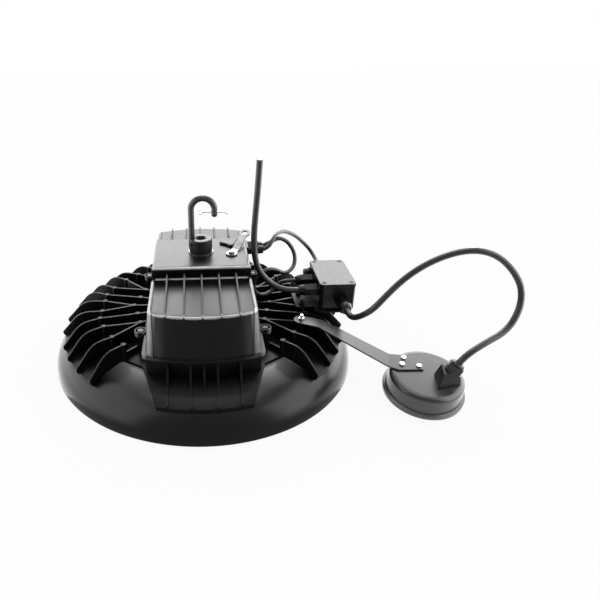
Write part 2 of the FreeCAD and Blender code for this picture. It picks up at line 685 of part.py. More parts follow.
def outline(height, half, front, bow, corner):
    """A wire round the lamp's axis: straight sides, bowed ends and rounded corners."""
    bow_y = front - bow
    corner_x = half - corner
    corner_y = bow_y + math.sqrt((bow - corner) ** 2 - corner_x ** 2)
    away = V(corner_x, corner_y - bow_y, 0)
    away.normalize()
    diagonal = V(1, 0, 0) + away
    diagonal.normalize()
    corner_at = V(corner_x, corner_y, 0)
    side = V(half, corner_y, height)
    middle = corner_at + diagonal * corner + V(0, 0, height)
    meet = corner_at + away * corner + V(0, 0, height)
    tip = V(0, front, height)

    def flip(point, sx, sy):
        return V(point.x * sx, point.y * sy, point.z)

    edges = [Part.LineSegment(flip(side, 1, -1), side).toShape(),
             Part.Arc(side, middle, meet).toShape(),
             Part.Arc(meet, tip, flip(meet, -1, 1)).toShape(),
             Part.Arc(flip(meet, -1, 1), flip(middle, -1, 1), flip(side, -1, 1)).toShape(),
             Part.LineSegment(flip(side, -1, 1), flip(side, -1, -1)).toShape(),
             Part.Arc(flip(side, -1, -1), flip(middle, -1, -1), flip(meet, -1, -1)).toShape(),
             Part.Arc(flip(meet, -1, -1), flip(tip, 1, -1), flip(meet, 1, -1)).toShape(),
             Part.Arc(flip(meet, 1, -1), flip(middle, 1, -1), flip(side, 1, -1)).toShape()]
    return Part.Wire(edges)


def flange_outline(height, inset):
    """The housing flange's outline, moved in by a distance."""
    return outline(height, size("flange_half") - inset, size("flange_front") - inset,
                   size("flange_bow") - inset, max(size("flange_corner") - inset, 1.0))


def flange_plate(bottom, wall, inset):
    return Part.Face(flange_outline(bottom, inset)).extrude(V(0, 0, wall))


def plinth_ring(bottom, wall):
    """The plinth's wall in plan, given a height: also the shape of the gasket on it."""
    inset = size("plinth_inset")
    outer = flange_plate(bottom, wall, inset)
    return outer.cut(flange_plate(bottom, wall, inset + size("plinth_wall")))


def make_heat_sink():
    edge = "(sink_radius)"
    shell = turned("sink_shell", [
        ("cable_hole", SEAT_FLOOR),
        ("seat_radius", SEAT_FLOOR),
        ("seat_radius", "bell_height"),
        ("crown_flat", "bell_height"),
        ("crown_flat", "bell_height + bell_gap"),
        bend_corner("bell_gap") + ("-(crown_arc + bell_gap)",),
        ("sink_radius", shoulder_height("bell_gap", edge), "-(shoulder_arc + bell_gap)"),
        ("sink_radius", shoulder_height("sink_wall", edge)),
        bend_corner("sink_wall") + ("shoulder_arc + sink_wall",),
        ("crown_flat", SINK_TOP, "crown_arc + sink_wall"),
        ("cable_hole", SINK_TOP),
    ])
    doc.recompute()
    front_notch = notch().mirror(V(), ENDWAYS)
    base = shell.Shape.cut(Part.makeCompound(mirrored([front_notch], SIDEWAYS)))
    top = size("fin_top")
    floor = size(f"{SINK_TOP} - sink_wall / 2")
    front = [shape.mirror(V(), ENDWAYS) for shape in front_corner()]
    half = mirrored(fan_quarter(), ENDWAYS) + front + rear_corner() + fan_middle()
    fins = mirrored(half, SIDEWAYS) + mirrored(tail_fins(), ENDWAYS)
    fins.append(plinth_ring(floor, top - floor))
    ear_top = size("fin_top + gasket_wall")
    wall_x = plinth_side()
    for x, y in EAR_PLACES:
        x, y = size(x), size(y)
        fins.append(Part.makeCylinder(size("post_radius"), ear_top - floor, V(x, y, floor)))
        fins.append(upright((math.copysign(wall_x, x), y), (x, y),
                            [(0, floor), (abs(x) - wall_x, floor), (abs(x) - wall_x, top), (0, top)],
                            size("plinth_wall")))
    for x, y in RING_PLACES:
        fins.append(Part.makeCylinder(size("ring_boss"), size("ring_boss_top") - floor,
                                      V(size(x), size(y), floor)))
    casting = base.fuse(fins)
    holes = []
    ring_depth = size("bell_height - bell_wall - lens_gasket - lens_flange - ring_wall + ring_screw_length")
    for x, y in RING_PLACES:
        bottom = size(SEAT_FLOOR)
        holes.append(Part.makeCylinder(size("screw + thread_gap"), ring_depth + 0.5 - bottom,
                                       V(size(x), size(y), bottom)))
    for x, y in BOARD_PLACES:
        bottom = size(SEAT_FLOOR) - 1
        holes.append(Part.makeCylinder(size("board_screw + thread_gap"), size("seat_depth + 2.5"),
                                       V(size(x), size(y), bottom)))
    for x, y in EAR_PLACES:
        depth = size("ear_screw_length - flange_wall + 0.5")
        holes.append(Part.makeCylinder(size("screw + thread_gap"), depth + 1,
                                       V(size(x), size(y), ear_top - depth)))
    for x, y in STANDOFF_PLACES:
        holes.append(Part.makeCylinder(size("screw + thread_gap"), size("sink_wall"),
                                       V(size(x), size(y), size(f"{SINK_TOP} - sink_wall + 0.5"))))
    for x, y in SINK_BOLTS:
        holes.append(Part.makeCylinder(size("screw + thread_gap"), BOLT_GRIP + 1.5,
                                       V(size(x), size(y), size("pin_top") - BOLT_GRIP - 0.5)))
    feature("heat_sink", casting.cut(holes).removeSplitter())


# Bolts that hold the two brackets on the ejector bosses, and how deep they go.
BRACKET_PLACES = [("boss_e_x", "boss_e_y"), ("boss_e_x", "(0 - boss_e_y)")]
ARM_PLACE = ("boss_c_x", "(0 - boss_c_y)")
SINK_BOLTS = BRACKET_PLACES + [ARM_PLACE]
BOLT_GRIP = 10.0


# ---------------------------------------------------------------- light engine

REFLECTOR_UNDER = "(bell_height - bell_wall)"
FLANGE_TOP = f"({REFLECTOR_UNDER} - lens_gasket)"
FLANGE_UNDER = f"({FLANGE_TOP} - lens_flange)"
RING_UNDER = f"({FLANGE_UNDER} - ring_wall)"
BOARD_UNDER = f"({SEAT_FLOOR} - board_wall)"
DISH_BORE = "(seat_radius + board_edge)"


def washer_shape(label, bore, radius, bottom, top, places, hole):
    """A flat turned ring with a set of round holes."""
    ring = turned(label + "_ring", [(bore, bottom), (radius, bottom), (radius, top), (bore, top)])
    holes = rods(label + "_holes", places, hole, f"{bottom} - 1", f"{top} - {bottom} + 2")
    return node(label, cut(label, ring, holes))


def make_light_engine():
    board_radius = "(seat_radius - board_edge)"
    board = turned("board_disc", [("cable_hole", BOARD_UNDER), (board_radius, BOARD_UNDER),
                                  (board_radius, SEAT_FLOOR), ("cable_hole", SEAT_FLOOR)])
    holes = rods("board_holes", BOARD_PLACES, "board_screw + hole_gap", f"{BOARD_UNDER} - 1",
                 "board_wall + 2")
    node("led_board", cut("led_board", board, holes))
    side = size("chip_side")
    chips = []
    for ring in (1, 2, 3, 4):
        radius = size("chip_pitch") * ring + 2
        for step in range(6 * ring):
            chip = Part.makeBox(side, side, size("chip_height"),
                                V(radius - side / 2, -side / 2, size(f"{BOARD_UNDER} - chip_height")))
            chip.rotate(V(), UP, 360 * (step + 0.5) / (6 * ring))
            chips.append(chip)
    feature("led_chips", Part.makeCompound(chips))
    screws("led_board_screws", BOARD_PLACES, BOARD_UNDER, "board_wall + seat_depth + 1", False,
           "board_screw", "2.75")
    node("wire_grommet", turned("wire_grommet", [
        ("cable_hole - 3", BOARD_UNDER),
        ("cable_hole - thread_gap", BOARD_UNDER),
        ("cable_hole - thread_gap", SINK_TOP),
        ("cable_hole + 2.5", SINK_TOP),
        ("cable_hole + 2.5", f"{SINK_TOP} + 1.5"),
        ("cable_hole - 3", f"{SINK_TOP} + 1.5"),
    ]))
    lens = turned("lens_dish", [
        ("0", f"{FLANGE_UNDER} - lens_depth"),
        (f"{DISH_BORE} - 4", f"{FLANGE_UNDER} - lens_depth"),
        (f"{DISH_BORE} + lens_flange", f"{FLANGE_UNDER} - lens_depth + 6", "8"),
        (f"{DISH_BORE} + lens_flange", FLANGE_UNDER),
        ("lens_radius", FLANGE_UNDER),
        ("lens_radius", FLANGE_TOP),
        (DISH_BORE, FLANGE_TOP),
        (DISH_BORE, f"{FLANGE_UNDER} - lens_depth + 6"),
        (f"{DISH_BORE} - 5", f"{FLANGE_UNDER} - lens_depth + lens_flange", "-6"),
        ("0", f"{FLANGE_UNDER} - lens_depth + lens_flange"),
    ])
    holes = rods("lens_holes", RING_PLACES, "screw + hole_gap", f"{FLANGE_UNDER} - 1", "lens_flange + 2")
    node("lens_cover", cut("lens_cover", lens, holes))
    washer_shape("lens_gasket", "ring_bore", "lens_radius", FLANGE_TOP, REFLECTOR_UNDER, RING_PLACES,
                 "screw + hole_gap")
    washer_shape("lens_ring", "ring_bore", "ring_radius", RING_UNDER, FLANGE_UNDER, RING_PLACES,
                 "screw + hole_gap")
    screws("ring_screws", RING_PLACES, RING_UNDER, "ring_screw_length", False)


# ---------------------------------------------------------------- driver housing

FLANGE_BOTTOM = "(fin_top + gasket_wall)"
BODY_FOOT = f"({FLANGE_BOTTOM} + flange_wall)"


def body_loft(inset, bottom, top):
    """The tapered body between two heights, moved in by a wall."""
    foot = size(BODY_FOOT)
    head = size("housing_top")
    wires = []
    for height in (bottom, top):
        share = (height - foot) / (head - foot)
        measures = [size(f"foot_{part}") * (1 - share) + size(f"head_{part}") * share
                    for part in ("half", "front", "corner")]
        curve = 1 / size("foot_bow") * (1 - share) + 1 / size("head_bow") * share
        half, front, corner = (measure - inset for measure in measures)
        wires.append(outline(height, half, front, 1 / curve - inset, corner))
    return Part.makeLoft(wires, True, True)


def side_profile(inset, width):
    """The body's outline seen from the side, a prism across a width."""
    riser = size("plate_half - lip_overhang") - inset
    drop = (size("shoulder_high") - size("shoulder_low")) / (size("shoulder_reach") - riser)
    far = size("foot_front") + 10
    high = size("shoulder_high") - inset
    low = high - drop * (far - riser)
    top = size("housing_top - lip_wall")
    bottom = size(FLANGE_BOTTOM) - 2
    half = [(riser, top), (riser, high), (far, low), (far, bottom)]
    points = [V(-width / 2, y, z) for y, z in half] + [V(-width / 2, -y, z) for y, z in reversed(half)]
    return prism(points, V(width, 0, 0))


def rounded(shape, radius, chosen):
    """The shape with its chosen edges rounded."""
    return shape.makeFillet(radius, [edge for edge in shape.Edges if chosen(edge)])


def reach_of(edge):
    """How far an edge goes from the lamp's middle, to the front or back."""
    return max(abs(edge.BoundBox.YMin), abs(edge.BoundBox.YMax))


def at_shoulder(edge):
    """Whether an edge lies at the height of the shoulders."""
    box = edge.BoundBox
    return box.ZMin > size("shoulder_low") - 3 and box.ZMax < size("shoulder_high") + 0.01


def at_root(edge):
    """Whether an edge is the corner between a riser and its shoulder."""
    across = edge.BoundBox.XLength > size("head_half")
    return at_shoulder(edge) and across and reach_of(edge) < size("plate_half")


def at_rim(edge):
    """Whether an edge runs round the outside of a shoulder."""
    return at_shoulder(edge) and reach_of(edge) > size("plate_half") and not at_root(edge)


def at_front(edge):
    """Whether an edge is the front or back edge of a shoulder."""
    return at_rim(edge) and edge.BoundBox.XLength > size("head_half")


def sunk_panel():
    """What is cut from the body between its side rails: riser, shoulder and front, both ends."""
    half, depth = size("panel_half"), size("panel_depth")
    foot = size(FLANGE_BOTTOM)
    floor = body_loft(depth, foot - 1, size("housing_top")).common(side_profile(depth, 2 * half + 2))
    floor = rounded(floor, size("edge_round - panel_depth"), at_front)
    floor = rounded(floor, size("root_round"), at_root)
    band = Part.makeBox(2 * half, 400, size("housing_top - lip_wall") - foot, V(-half, -200, foot))
    return band.cut(floor)


def lip():
    """The top plate, which overhangs the riser, with a rounded edge."""
    top, reach, wall = size("housing_top"), size("plate_half"), size("lip_wall")
    half = size(f"head_half + (foot_half - head_half) * lip_wall / (housing_top - {BODY_FOOT})")
    plate = Part.makeBox(2 * half, 2 * reach, wall, V(-half, -reach, top - wall))
    return rounded(plate, size("lip_round"), lambda edge: edge.BoundBox.ZMin > top - 0.01)


def shoulder_rib(x):
    """A rib from the riser over the shoulder's front edge, at the front."""
    riser = size("plate_half - lip_overhang")
    reach = size("shoulder_reach") - x ** 2 / size("2 * foot_bow")
    high, low = size("shoulder_high"), size("shoulder_low")
    depth = size("panel_depth")
    corners = [(riser - depth - 1, size("rib_top")), (riser, size("rib_top")),
               (reach - 2.5, low + size("rib_end")), (reach - 0.4, low - 1.5), (reach - 0.4, low - 5),
               (reach - 4, low - 5), (riser - depth - 1, high - depth - 2)]
    wall = size("rib_wall")
    return prism([V(x - wall / 2, -y, z) for y, z in corners], V(wall, 0, 0))


def gland_pad():
    """The flat pad on the housing's right side that the two driver glands sit on."""
    inside = 10
    margin = size("driver_gland_nut") + 0.4
    front = size("gland_a_y") - margin
    back = size("plate_half - lip_overhang")
    low = size("pad_z") - margin
    top = size("housing_top - lip_wall")
    return Part.makeBox(inside, back - front, top - low, V(size("pad_x") - inside, front, low))


def make_housing():
    foot, top = size(FLANGE_BOTTOM), size("housing_top")
    wall = size("housing_wall")
    width = 4 * size("foot_half")
    outer = rounded(body_loft(0, foot, top).common(side_profile(0, width)), size("edge_round"), at_rim)
    outer = outer.cut(sunk_panel())
    inner = body_loft(wall, foot - 1, top).common(side_profile(wall, width))
    added = [flange_plate(foot, size("flange_wall"), 0), lip(), gland_pad()]
    for step in (-2, -1, 0, 1, 2):
        rib = shoulder_rib(step * size("rib_pitch"))
        added += [rib, rib.mirror(V(), V(0, 1, 0))]
    side = size("flange_half") - 3
    for x, y in EAR_PLACES:
        x, y = size(x), size(y)
        ear = size("ear_radius")
        added.append(Part.makeCylinder(ear, size("flange_wall"), V(x, y, foot)))
        rim = Part.makeCylinder(ear, size("ear_rim"), V(x, y, size(BODY_FOOT)))
        added.append(rim.cut(Part.makeCylinder(ear - size("ear_rim_wall"), 10, V(x, y, size(BODY_FOOT)))))
        low_x = min(x, math.copysign(side, x))
        added.append(Part.makeBox(abs(x) - side, 2 * ear, size("flange_wall"), V(low_x, y - ear, foot)))
    body = outer.fuse(added).cut(inner)
    holes = [Part.makeCylinder(size("screw + hole_gap"), size("flange_wall + 2"),
                               V(size(x), size(y), foot - 1)) for x, y in EAR_PLACES]
    holes.append(Part.makeCylinder(size("bolt_radius + hole_gap"), 3 * wall, V(0, 0, top - 2 * wall)))
    holes.append(Part.makeCylinder(size("screw + thread_gap"), 3 * wall,
                                   V(size("lug_x"), size("lug_y"), top - 2 * wall)))
    for y in ("gland_a_y", "gland_b_y"):
        holes.append(Part.makeCylinder(size("driver_gland_thread + thread_gap"), 30,
                                       V(size("pad_x") - 20, size(y), size("pad_z")), V(1, 0, 0)))
    feature("driver_housing", body.cut(holes).removeSplitter())
    feature("housing_gasket", plinth_ring(size("fin_top"), size("gasket_wall")))
    screws("housing_screws", EAR_PLACES, BODY_FOOT, "ear_screw_length", True)


# ---------------------------------------------------------------- LED driver

DRIVER_UNDER = f"({SINK_TOP} + standoff_height)"


def make_driver():
    case = slab("driver_case", ("0 - driver_half_x", "0 - driver_half_y", DRIVER_UNDER),
                "2 * driver_half_x", "2 * driver_half_y", "driver_height")
    tabs = slab("driver_tabs", ("0 - driver_half_x", "0 - driver_half_y - driver_tab", DRIVER_UNDER),
                "2 * driver_half_x", "2 * (driver_half_y + driver_tab)", "driver_tab_wall")
    holes = rods("driver_holes", STANDOFF_PLACES, "screw + hole_gap", f"{DRIVER_UNDER} - 1",
                 "driver_tab_wall + 2")
    node("led_driver", cut("led_driver", fuse("driver_block", case, tabs), holes))
    made = []
    for n, (x, y) in enumerate(STANDOFF_PLACES):
        body = rod(f"standoff_{n}", "standoff_radius", "standoff_height", (x, y, SINK_TOP))
        bore = rod(f"standoff_bore_{n}", "screw + hole_gap", "standoff_height + 2",
                   (x, y, f"{SINK_TOP} - 1"))
        made.append(cut(f"standoff_tube_{n}", body, bore))
    node("driver_standoffs", group("driver_standoffs", *made))
    screws("driver_screws", STANDOFF_PLACES, f"({DRIVER_UNDER} + driver_tab_wall)",
           "(driver_tab_wall + standoff_height + sink_wall / 2)", True)


# ---------------------------------------------------------------- suspension

HUB_BOTTOM = "(housing_top + washer_wall)"
HUB_TOP = f"({HUB_BOTTOM} + hub_height)"
SHANK_X = "(0 - shank_offset)"


def tube(points, radius, radii_of_arcs):
    """A round bar along straight runs joined by tangent arcs. One arc radius for each inner point."""
    edges = []
    start = points[0]
    for before, corner, after, bend in zip(points, points[1:], points[2:], radii_of_arcs):
        back = (before - corner).normalize()
        forth = (after - corner).normalize()
        half_turn = (math.pi - back.getAngle(forth)) / 2
        reach = bend * math.tan(half_turn)
        middle = (back + forth).normalize()
        arc_start = corner + back * reach
        arc_end = corner + forth * reach
        arc_middle = corner + middle * (bend / math.cos(half_turn) - bend)
        edges.append(Part.LineSegment(start, arc_start).toShape())
        edges.append(Part.Arc(arc_start, arc_middle, arc_end).toShape())
        start = arc_end
    edges.append(Part.LineSegment(start, points[-1]).toShape())
    path = Part.Wire(edges)
    section = Part.Wire(Part.makeCircle(radius, points[0], points[1] - points[0]))
    return path.makePipeShell([section], True, True), path.Length


def cord(label, route, radius):
    """A cord's solid. Each arc is as large as its two runs allow."""
    points = [V(*point) for point in route]
    print(label, "ends at", *(tuple(round(value, 1) for value in points[n]) for n in (0, 1, -2, -1)))
    radii = []
    for before, corner, after in zip(points, points[1:], points[2:]):
        run = min((corner - before).Length, (after - corner).Length)
        half_turn = (math.pi - (before - corner).getAngle(after - corner)) / 2
        radii.append(0.45 * run / math.tan(half_turn))
    shape, length = tube(points, radius, radii)
    true_volume = math.pi * radius ** 2 * length
    tightest = ", ".join(f"{bend:.0f}" for bend in radii)
    print(f"{label}: length {length:.0f}, volume {shape.Volume / true_volume:.4f} of section by length,"
          f" arcs {tightest}")
    return feature(label, shape)


def make_suspension():
    node("hook_washer", turned("hook_washer", [
        ("bolt_radius + hole_gap", "housing_top"), ("washer_radius", "housing_top"),
        ("washer_radius", HUB_BOTTOM), ("bolt_radius + hole_gap", HUB_BOTTOM)]))
    well_floor = f"({HUB_BOTTOM} + hub_floor)"
    hub = turned("hub", [
        ("bolt_radius + hole_gap", HUB_BOTTOM),
        ("hub_radius - 0.8", HUB_BOTTOM),
        ("hub_radius", f"{HUB_BOTTOM} + 0.8"),
        ("hub_radius", f"{HUB_TOP} - 0.8"),
        ("hub_radius - 0.8", HUB_TOP),
        ("hub_well + 1.6", HUB_TOP),
        ("hub_well", f"{HUB_TOP} - 1.6"),
        ("hub_well", well_floor),
        ("bolt_radius + hole_gap", well_floor),
    ])
    socket = rod("hub_socket", "wire_radius + thread_gap", "shank_depth + 5",
                 (SHANK_X, "0", f"{HUB_TOP} - shank_depth"))
    grub_hole = rod("grub_hole", "screw + thread_gap", "hub_radius",
                    (SHANK_X, "0 - hub_radius - 3", GRUB_Z), V(0, 1, 0))
    node("hook_block", cut("hook_block", hub, socket, grub_hole))
    head_bottom = well_floor
    head_top = f"({well_floor} + bolt_head_height)"
    nut_top = "(housing_top - lip_wall)"
    node("hook_bolt", turned("hook_bolt", [
        ("0", f"{nut_top} - nut_height - 1.5"),
        ("bolt_radius", f"{nut_top} - nut_height - 1.5"),
        ("bolt_radius", head_bottom),
        ("bolt_head", head_bottom),
        ("bolt_head", head_top),
        ("bolt_socket", head_top),
        ("bolt_socket", f"{head_top} - bolt_head_height / 2"),
        ("0", f"{head_top} - bolt_head_height / 2"),
    ]))
    nut = hexagon(size("nut_radius"), size(f"{nut_top} - nut_height"), size(nut_top))
    nut_bore = Part.makeCylinder(size("bolt_radius + thread_gap"), size("nut_height") + 2,
                                 V(0, 0, size(f"{nut_top} - nut_height - 1")))
    feature("hook_nut", nut.cut(nut_bore))

    shank_x, bowl, bowl_z = size(SHANK_X), size("bowl_radius"), size("bowl_height")
    tip_x, top_z = shank_x + 2 * bowl, bowl_z + bowl
    bar, length = tube([V(shank_x, 0, size(f"{HUB_TOP} - shank_depth")), V(shank_x, 0, top_z),
                        V(tip_x, 0, top_z), V(tip_x, 0, bowl_z - size("tip_drop"))],
                       size("wire_radius"), [bowl * 0.9999, bowl * 0.9999])
    end = Part.makeSphere(size("wire_radius"), V(tip_x, 0, bowl_z - size("tip_drop")))
    pin_hole = Part.makeCylinder(size("split_radius + thread_gap"), 4 * size("wire_radius"),
                                 V(tip_x - 2 * size("wire_radius"), 0, size("split_height")), V(1, 0, 0))
    feature("hook", bar.fuse(end).cut(pin_hole))
    node("hook_set_screw", rod("hook_set_screw", "screw", "hub_radius - shank_offset / 2 - wire_radius",
                               (SHANK_X, "0 - wire_radius - (hub_radius - shank_offset / 2 - wire_radius)",
                                GRUB_Z), V(0, 1, 0)))
    left = tip_x - size("wire_radius") - size("split_in")
    right = tip_x + size("wire_radius") + size("split_out")
    pin_z, pin = size("split_height"), size("split_radius")
    legs, length = tube([V(left, 0, pin_z), V(right - 4, 0, pin_z), V(right, 0, pin_z - 3)], pin, [2.5])
    eye = Part.makeTorus(2.4, pin * 0.8, V(left - 1.6, 0, pin_z), V(0, 1, 0))
    feature("hook_split_pin", legs.fuse(eye))


GRUB_Z = f"({HUB_TOP} - shank_depth / 2)"


def lug_frame():
    """Placement of the safety lug: origin under the screw, X along the strip."""
    return FreeCAD.Placement(V(size("lug_x"), size("lug_y"), size("housing_top")),
                             FreeCAD.Rotation(UP, size("lug_turn")))


def make_safety_lug():
    wall, eye, half = size("lug_wall"), size("lug_eye"), size("lug_eye") * 0.62
    flat, run, rise = size("lug_flat"), size("lug_run"), math.radians(size("lug_rise"))
    end = V(flat + run * math.cos(rise), 0, run * math.sin(rise))
    slope = V(-math.sin(rise), 0, math.cos(rise))
    above = end + slope * wall
    outline_points = [(0, 0), (flat, 0), (end.x, end.z), (above.x, above.z),
                      (flat - wall * math.tan(rise / 2), wall), (0, wall)]
    strip = prism([V(x, -half, z) for x, z in outline_points], V(0, 2 * half, 0))
    eyes = [Part.makeCylinder(eye, wall), Part.makeCylinder(eye, wall, end, slope)]
    holes = [Part.makeCylinder(size("screw + hole_gap"), 3 * wall, V(0, 0, -wall)),
             Part.makeCylinder(size("lug_hole"), 3 * wall, end - slope * wall, slope)]
    lug = strip.fuse(eyes).cut(holes)
    lug.Placement = lug_frame()
    feature("safety_lug", lug)
    screws("lug_screw", [("lug_x", "lug_y")], "(housing_top + lug_wall)", "(lug_wall + lip_wall + 2)", True)
    clip = size("clip_radius")
    base = size("housing_top") + clip
    points = [V(26, 25.5, base), V(36, 17.5, base), V(39.5, 10, base), V(49, 38, base)]
    shape, length = tube(points, clip, [2.5, 2.5])
    feature("safety_clip", shape)


# ---------------------------------------------------------------- glands

def gland_shapes(length, thread, nut_radius, cord_radius):
    """Body, nut and seal of a cable gland along Z, its seat at zero and its mouth at length."""
    grip, gap = size("gland_grip"), size("thread_gap")
    bore = cord_radius + 0.4
    seal = cord_radius + 1.3
    collar = length * 0.2
    neck = length * 0.62
    lip_top = length * 0.66
    body = turned_shape([(bore, -grip), (thread, -grip), (thread, neck), (bore, neck)])
    bored = Part.makeCylinder(thread - 0.5, collar + 2, V(0, 0, -1))
    body = body.fuse(hexagon(nut_radius, 0, collar).cut(bored))
    nut_low = collar + 0.4
    nut_high = length * 0.72
    outer = hexagon(nut_radius, nut_low, nut_high)
    flat = nut_radius * math.cos(math.pi / 6)
    dome = turned_shape([(0, nut_high - 1), (flat, nut_high - 1), (flat, nut_high),
                         (nut_radius * 0.8, length * 0.86), (seal + 1.2, length), (0, length)])
    hollow = turned_shape([(0, nut_low - 1), (thread + gap, nut_low - 1), (thread + gap, lip_top),
                           (seal + 0.05, lip_top), (seal + 0.05, length + 1), (0, length + 1)])
    nut = outer.fuse(dome).cut(hollow)
    plug = Part.makeCylinder(seal, length - neck, V(0, 0, neck))
    return body, nut, plug


def glands(prefix, placed):
    """Three nodes, of bodies, nuts and seals, for a set of glands."""
    sets = ([], [], [])
    for at, along, length, thread, nut_radius, cord_radius in placed:
        for made, shape in zip(sets, gland_shapes(length, thread, nut_radius, cord_radius)):
            shape.Placement = frame_at(at, along)
            made.append(shape)
    for kind, made in zip(("bodies", "nuts", "seals"), sets):
        feature(f"{prefix}_gland_{kind}", Part.makeCompound(made))


def make_driver_glands():
    measures = (size("driver_gland_length"), size("driver_gland_thread"), size("driver_gland_nut"),
                size("lead_radius"))
    glands("driver", [((size("pad_x"), size(y), size("pad_z")), (1, 0, 0)) + measures
                      for y in ("gland_a_y", "gland_b_y")])


def make_box_glands():
    left, z = size("box_left"), size("side_gland_z")
    usual = (size("gland_length"), size("gland_thread"), size("gland_nut"))
    wide = (size("gland_length"), size("wide_thread"), size("wide_nut"))
    glands("box", [
        ((left, size("supply_gland_y"), z), (-1, 0, 0)) + usual + (size("supply_radius"),),
        ((left, size("lead_gland_y"), z), (-1, 0, 0)) + usual + (size("lead_radius"),),
        ((size("rear_gland_x"), size("box_front + box_depth"), z), (0, 1, 0)) + usual
        + (size("lead_radius"),),
        ((size("front_gland_x"), size("box_front"), size("front_gland_z")), (0, -1, 0)) + wide
        + (size("sensor_cord_radius"),),
    ])
    inner = 0.1 - size("box_wall")
    plug = turned_shape([(0, inner), (size("plug_radius") - 1.5, inner), (size("plug_radius") - 1.5, 0),
                         (size("plug_radius") + 1, 0), (size("plug_radius") + 1, 2.5),
                         (size("plug_radius"), 3), (size("plug_radius") - 0.6, size("plug_length")),
                         (0, size("plug_length"))])
    plug.Placement = frame_at((left, size("plug_y"), size("plug_z")), (-1, 0, 0))
    feature("blanking_plug", plug)


# ---------------------------------------------------------------- junction box

BOX_BOTTOM = "(pin_top + bracket_wall)"
BOX_X = "(box_left + box_length / 2)"
BOX_Y = "(box_front + box_depth / 2)"
BOX_SCREWS = [("(box_left + box_length / 2)", "(box_front + 16)"),
              ("(box_left + box_length / 2)", "(box_front + box_depth - 16)")]
LID_INSET = 5.5
LID_PLACES = [(f"({x})", f"({y})")
              for x in (f"box_left + {LID_INSET}", f"box_left + box_length - {LID_INSET}")
              for y in (f"box_front + {LID_INSET}", f"box_front + box_depth - {LID_INSET}")]


def round_slab(x, y, z, length, width, height, corner):
    """An upright slab with rounded vertical edges."""
    box = Part.makeBox(length, width, height, V(x, y, z))
    if corner < 0.2:
        return box
    return box.makeFillet(corner, [e for e in box.Edges if abs(e.tangentAt(e.FirstParameter).z) > 0.9])


def box_slab(bottom, height, grow):
    """A slab of the junction box's plan, grown all round by a distance."""
    return round_slab(size("box_left") - grow, size("box_front") - grow, bottom,
                      size("box_length") + 2 * grow, size("box_depth") + 2 * grow, height,
                      size("box_corner") + grow)


